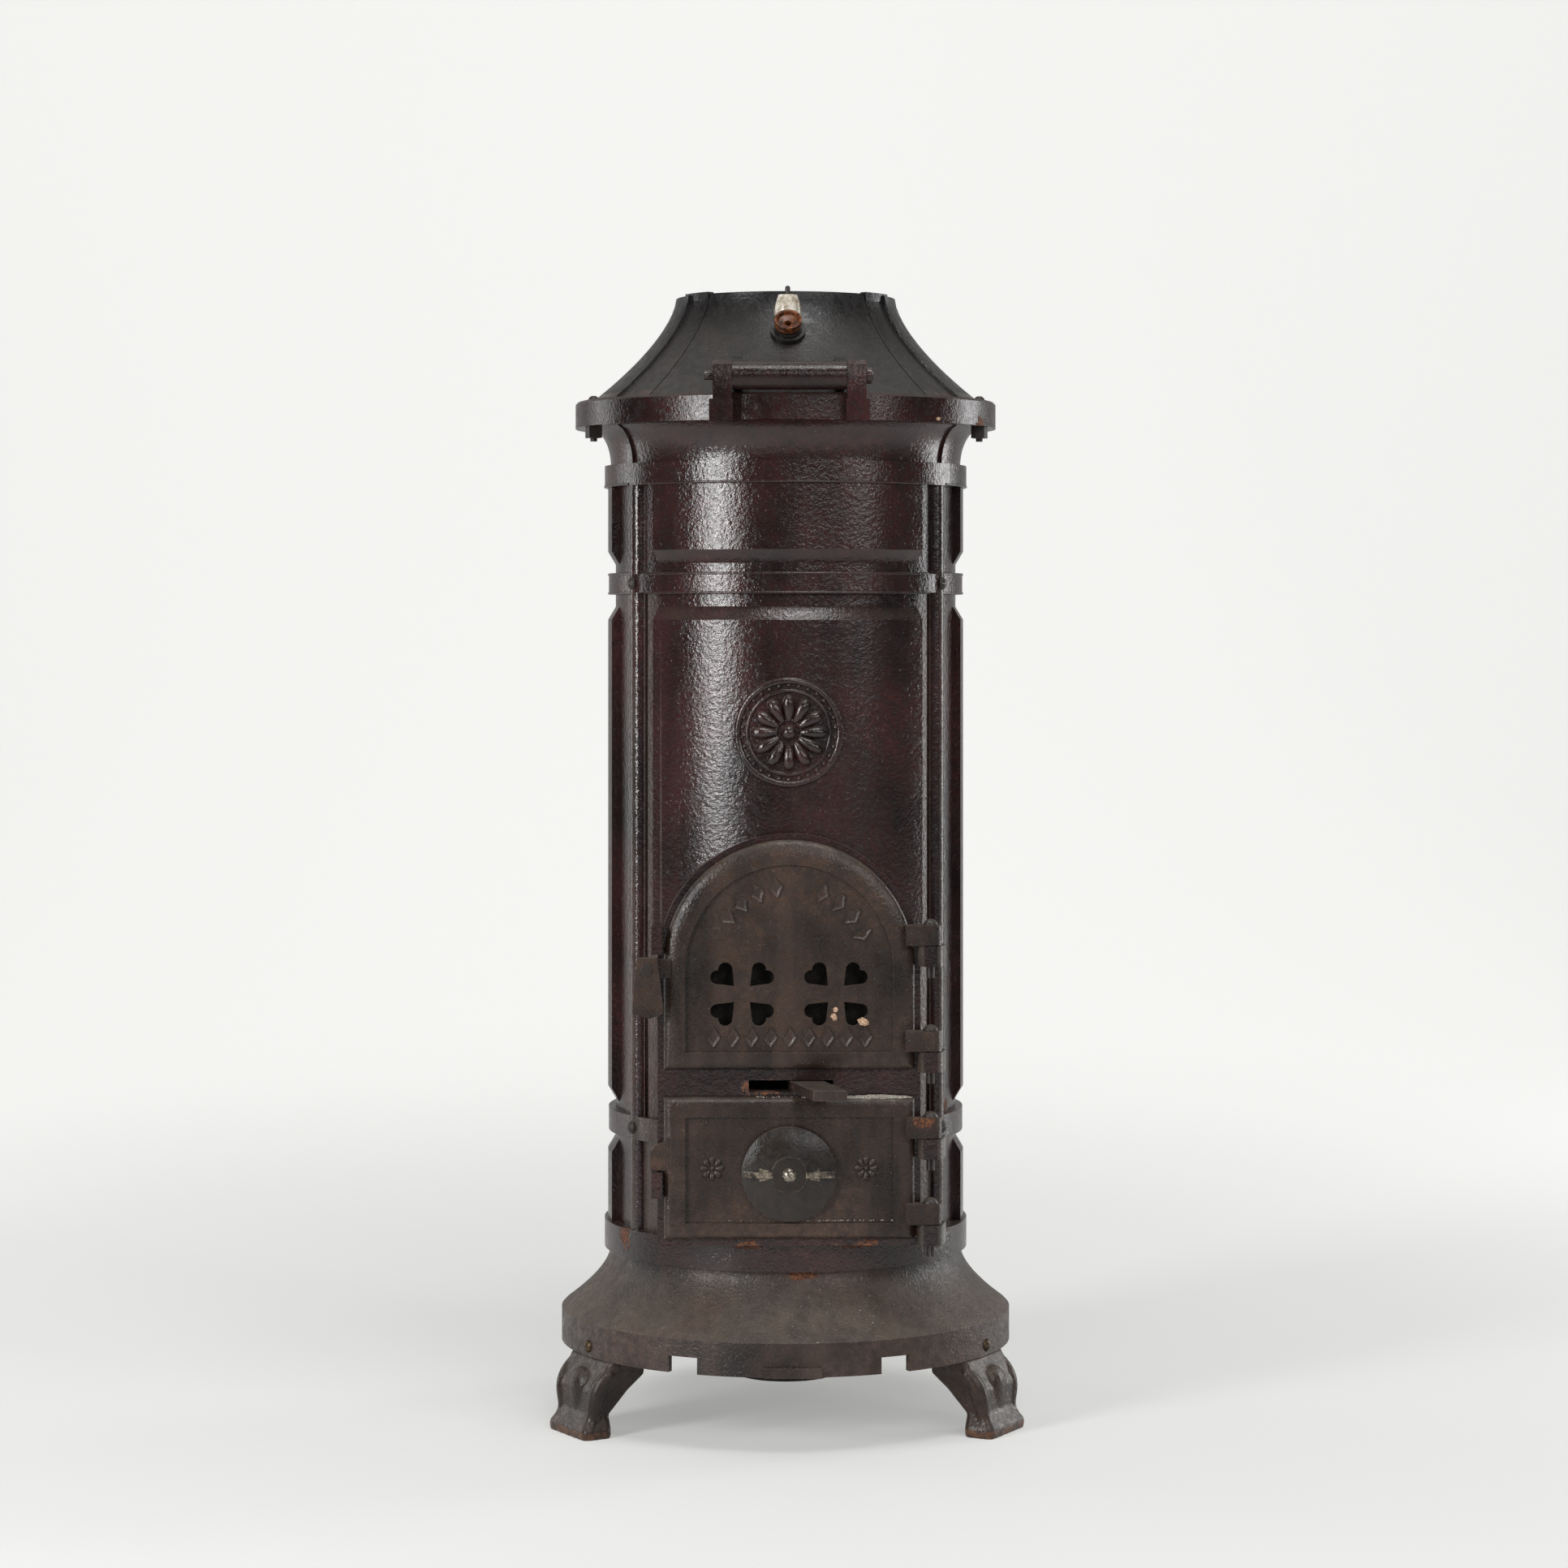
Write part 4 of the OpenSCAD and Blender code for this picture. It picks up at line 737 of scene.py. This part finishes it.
def rosette(place, size, petals):
    """A round flower: an even ring of petals round a plain boss."""
    leaf = petal((0, 0, 0), (size * 1.9 / petals, size * 0.17, size * 0.36), 0.7)
    boss = bead(place, (size * 0.2, size * 0.22, size * 0.2))
    return repeat(leaf, ring_places(place, 0.6 * size, petals, True)) + [boss]


def medallion():
    """The round ornament on the long field of the body: petals, three rings and a row of beads."""
    parts = rosette((0, 0, 0), 34 * MM, 12)
    parts += [hoop((0, 0, 0), radius * MM, thick * MM)
              for radius, thick in ((44, 3.0), (35.5, 1.8), (10.5, 1.2))]
    pearl = bead((0, 0, 0), (2.0 * MM, 2.8 * MM, 2.0 * MM), 12, 8)
    parts += repeat(pearl, ring_places((0, 0, 0), 40 * MM, 30, False))
    piece = join(parts, "body_medallion")
    for vertex in piece.data.vertices:
        vertex.co.z += MEDALLION_Z
    smooth(wrap_round(piece, BODY_R - 0.2 * MM), 50)
    new_piece(piece, "stove", "body_iron")


def lozenge(x, z, turn):
    """A raised four-sided stud with a sunk middle, in the sunk field of a door."""
    half_height, thick, narrow = 9.4 * MM, 4.4 * MM, 0.66
    bpy.ops.object.select_all(action="DESELECT")
    bpy.ops.mesh.primitive_cylinder_add(vertices=4, radius=half_height, depth=thick,
                                        rotation=(QUARTER, 0, 0))
    stud = settle(added())
    for face in stud.data.polygons:
        face.select = face.normal.y < -0.9
    bpy.ops.object.mode_set(mode="EDIT")
    bpy.ops.mesh.select_mode(type="FACE")
    bpy.ops.mesh.inset(thickness=2.2 * MM)
    bpy.ops.transform.translate(value=(0, 1.6 * MM, 0))
    bpy.ops.object.mode_set(mode="OBJECT")
    stud.scale = (narrow, 1.0, 1.0)
    settle(stud)
    apply_modifier(stud, "cast_edge", "BEVEL", width=0.55 * MM, segments=3, limit_method="ANGLE",
                   angle_limit=math.radians(25))
    stud.rotation_euler = (0, turn, 0)
    stud.location = (x, FIELD_FACE, z)
    return settle(stud)


def fire_door_relief():
    """An arc of lozenges over the clovers and a row of them below."""
    reach = 67 * MM
    arc = [math.radians(a) for a in (-66, -52, -38, -24, -10, 24, 38, 52, 66)]
    studs = [lozenge(reach * math.sin(a), ARCH_Z + reach * math.cos(a), a) for a in arc]
    studs += [lozenge(x * MM, FIRE_LOW.z + 28 * MM, 0) for x in range(-64, 65, 16)]
    new_piece(smooth(join(studs, "fire_door_studs")), "fire_door", "door_iron")


def ash_door_relief():
    """A small flower each side of the draught disc, and the ring that a casting's vent leaves."""
    parts = []
    for x in (-65, 65):
        parts += rosette((x * MM, FIELD_FACE, DISC_MID.z + 4 * MM), 10.5 * MM, 8)
    parts.append(hoop((-72 * MM, FIELD_FACE, ASH_HIGH.z - 20 * MM), 3.0 * MM, 0.9 * MM))
    new_piece(smooth(join(parts, "ash_door_flowers"), 50), "ash_door", "door_iron")


def lips():
    """Raised beads along the edges of the body's bands, in lengths between the upright seams."""
    top_band, rail_high, rail_low = BODY_TOP - 18 * MM, BODY_TOP - 95.8 * MM, BODY_TOP - 112.2 * MM
    band_r, rail_r, bead_r, steps = BODY_R + 2.5 * MM, BODY_R - 0.9 * MM, 1.15 * MM, 28
    panels = ((-51, 51), (59, 172), (-147, -59))        # degrees round from the front
    bars = []
    for z, radius in ((top_band, band_r), (rail_high, rail_r), (rail_low, rail_r)):
        for start, end in panels:
            turns = [math.radians(start + (end - start) * i / steps) for i in range(steps + 1)]
            bars.append(rope([(radius * math.sin(t), -radius * math.cos(t), z) for t in turns],
                             [bead_r] * len(turns)))
    new_piece(smooth(join(bars, "body_lips"), 60), "stove", "body_iron")


lips()
medallion()
fire_door_relief()
ash_door_relief()


# ---------- ash and chips ----------
def ash_ridge():
    """A low ridge of ash along the top of the ash door, rough all over."""
    bpy.ops.object.select_all(action="DESELECT")
    bpy.ops.mesh.primitive_uv_sphere_add(segments=96, ring_count=24, radius=1.0,
                                         rotation=(0, QUARTER, 0))
    ridge = settle(added())
    ridge.name = "ash_ridge"
    ridge.scale = (34 * MM, 3.4 * MM, 2.2 * MM)
    ridge.location = (72 * MM, -171.6 * MM, ASH_HIGH.z - 0.6 * MM)
    settle(ridge)
    lumps = bpy.data.textures.new("ash_lumps", "CLOUDS")
    lumps.noise_scale = 3.2 * MM
    lumps.noise_depth = 3
    apply_modifier(ridge, "lumps", "DISPLACE", texture=lumps, strength=2.6 * MM, mid_level=0.5,
                   texture_coords="OBJECT")
    new_piece(smooth(ridge, 50), "ash_door", "fire_brick", "ash")


def crumb(place, size, chance):
    """One broken chip."""
    bpy.ops.object.select_all(action="DESELECT")
    bpy.ops.mesh.primitive_ico_sphere_add(subdivisions=1, radius=size, location=place, rotation=(
        chance.uniform(0, 3), chance.uniform(0, 3), chance.uniform(0, 3)))
    chip = added()
    chip.scale = [chance.uniform(0.6, 1.1) for _ in range(3)]
    return settle(chip)


def crumbs(name, body, own, seed, ledges):
    """Chips strewn on ledges, each given in millimetres: both ends, front and back, height, count, size."""
    chance = random.Random(seed)
    chips = []
    for x0, x1, y0, y1, z, count, size in ledges:
        for _ in range(count):
            chips.append(crumb((chance.uniform(x0, x1) * MM, chance.uniform(y0, y1) * MM,
                                z * MM + size * 0.3 * MM), size * chance.uniform(0.5, 1.0) * MM, chance))
    new_piece(join(chips, name), body, "fire_brick", own)


ash_ridge()
door_top = ASH_HIGH.z / MM - 0.4
field_foot = ASH_LOW.z / MM + 16.3                  # lower edge of the ash door's sunk field
crumbs("ash_crumbs", "ash_door", "ash", 5, [
    (-30, 100, -175, -170, door_top, 46, 1.1), (25, 88, -177.0, -175.2, field_foot, 40, 0.8),
    (-80, 25, -176.8, -175.6, field_foot, 14, 0.6)])
crumbs("flange_chips", "stove", "clay_chips", 7, [(127, 130, -136.5, -135.5, 870, 2, 3.2)])
crumbs("clover_chips", "fire_door", "clay_chips", 9, [
    (37, 39, -173.5, -172.5, 362, 1, 8.5), (38, 40, -173.5, -172.5, 369, 1, 6.0),
    (62, 64, -173.5, -172.5, 358, 1, 8.0)])

# The CAD nodes that are shown as they are take their finishes too
for node, thing in frame["nodes"].items():
    finish_with(thing, SLOT_OF[node], node)
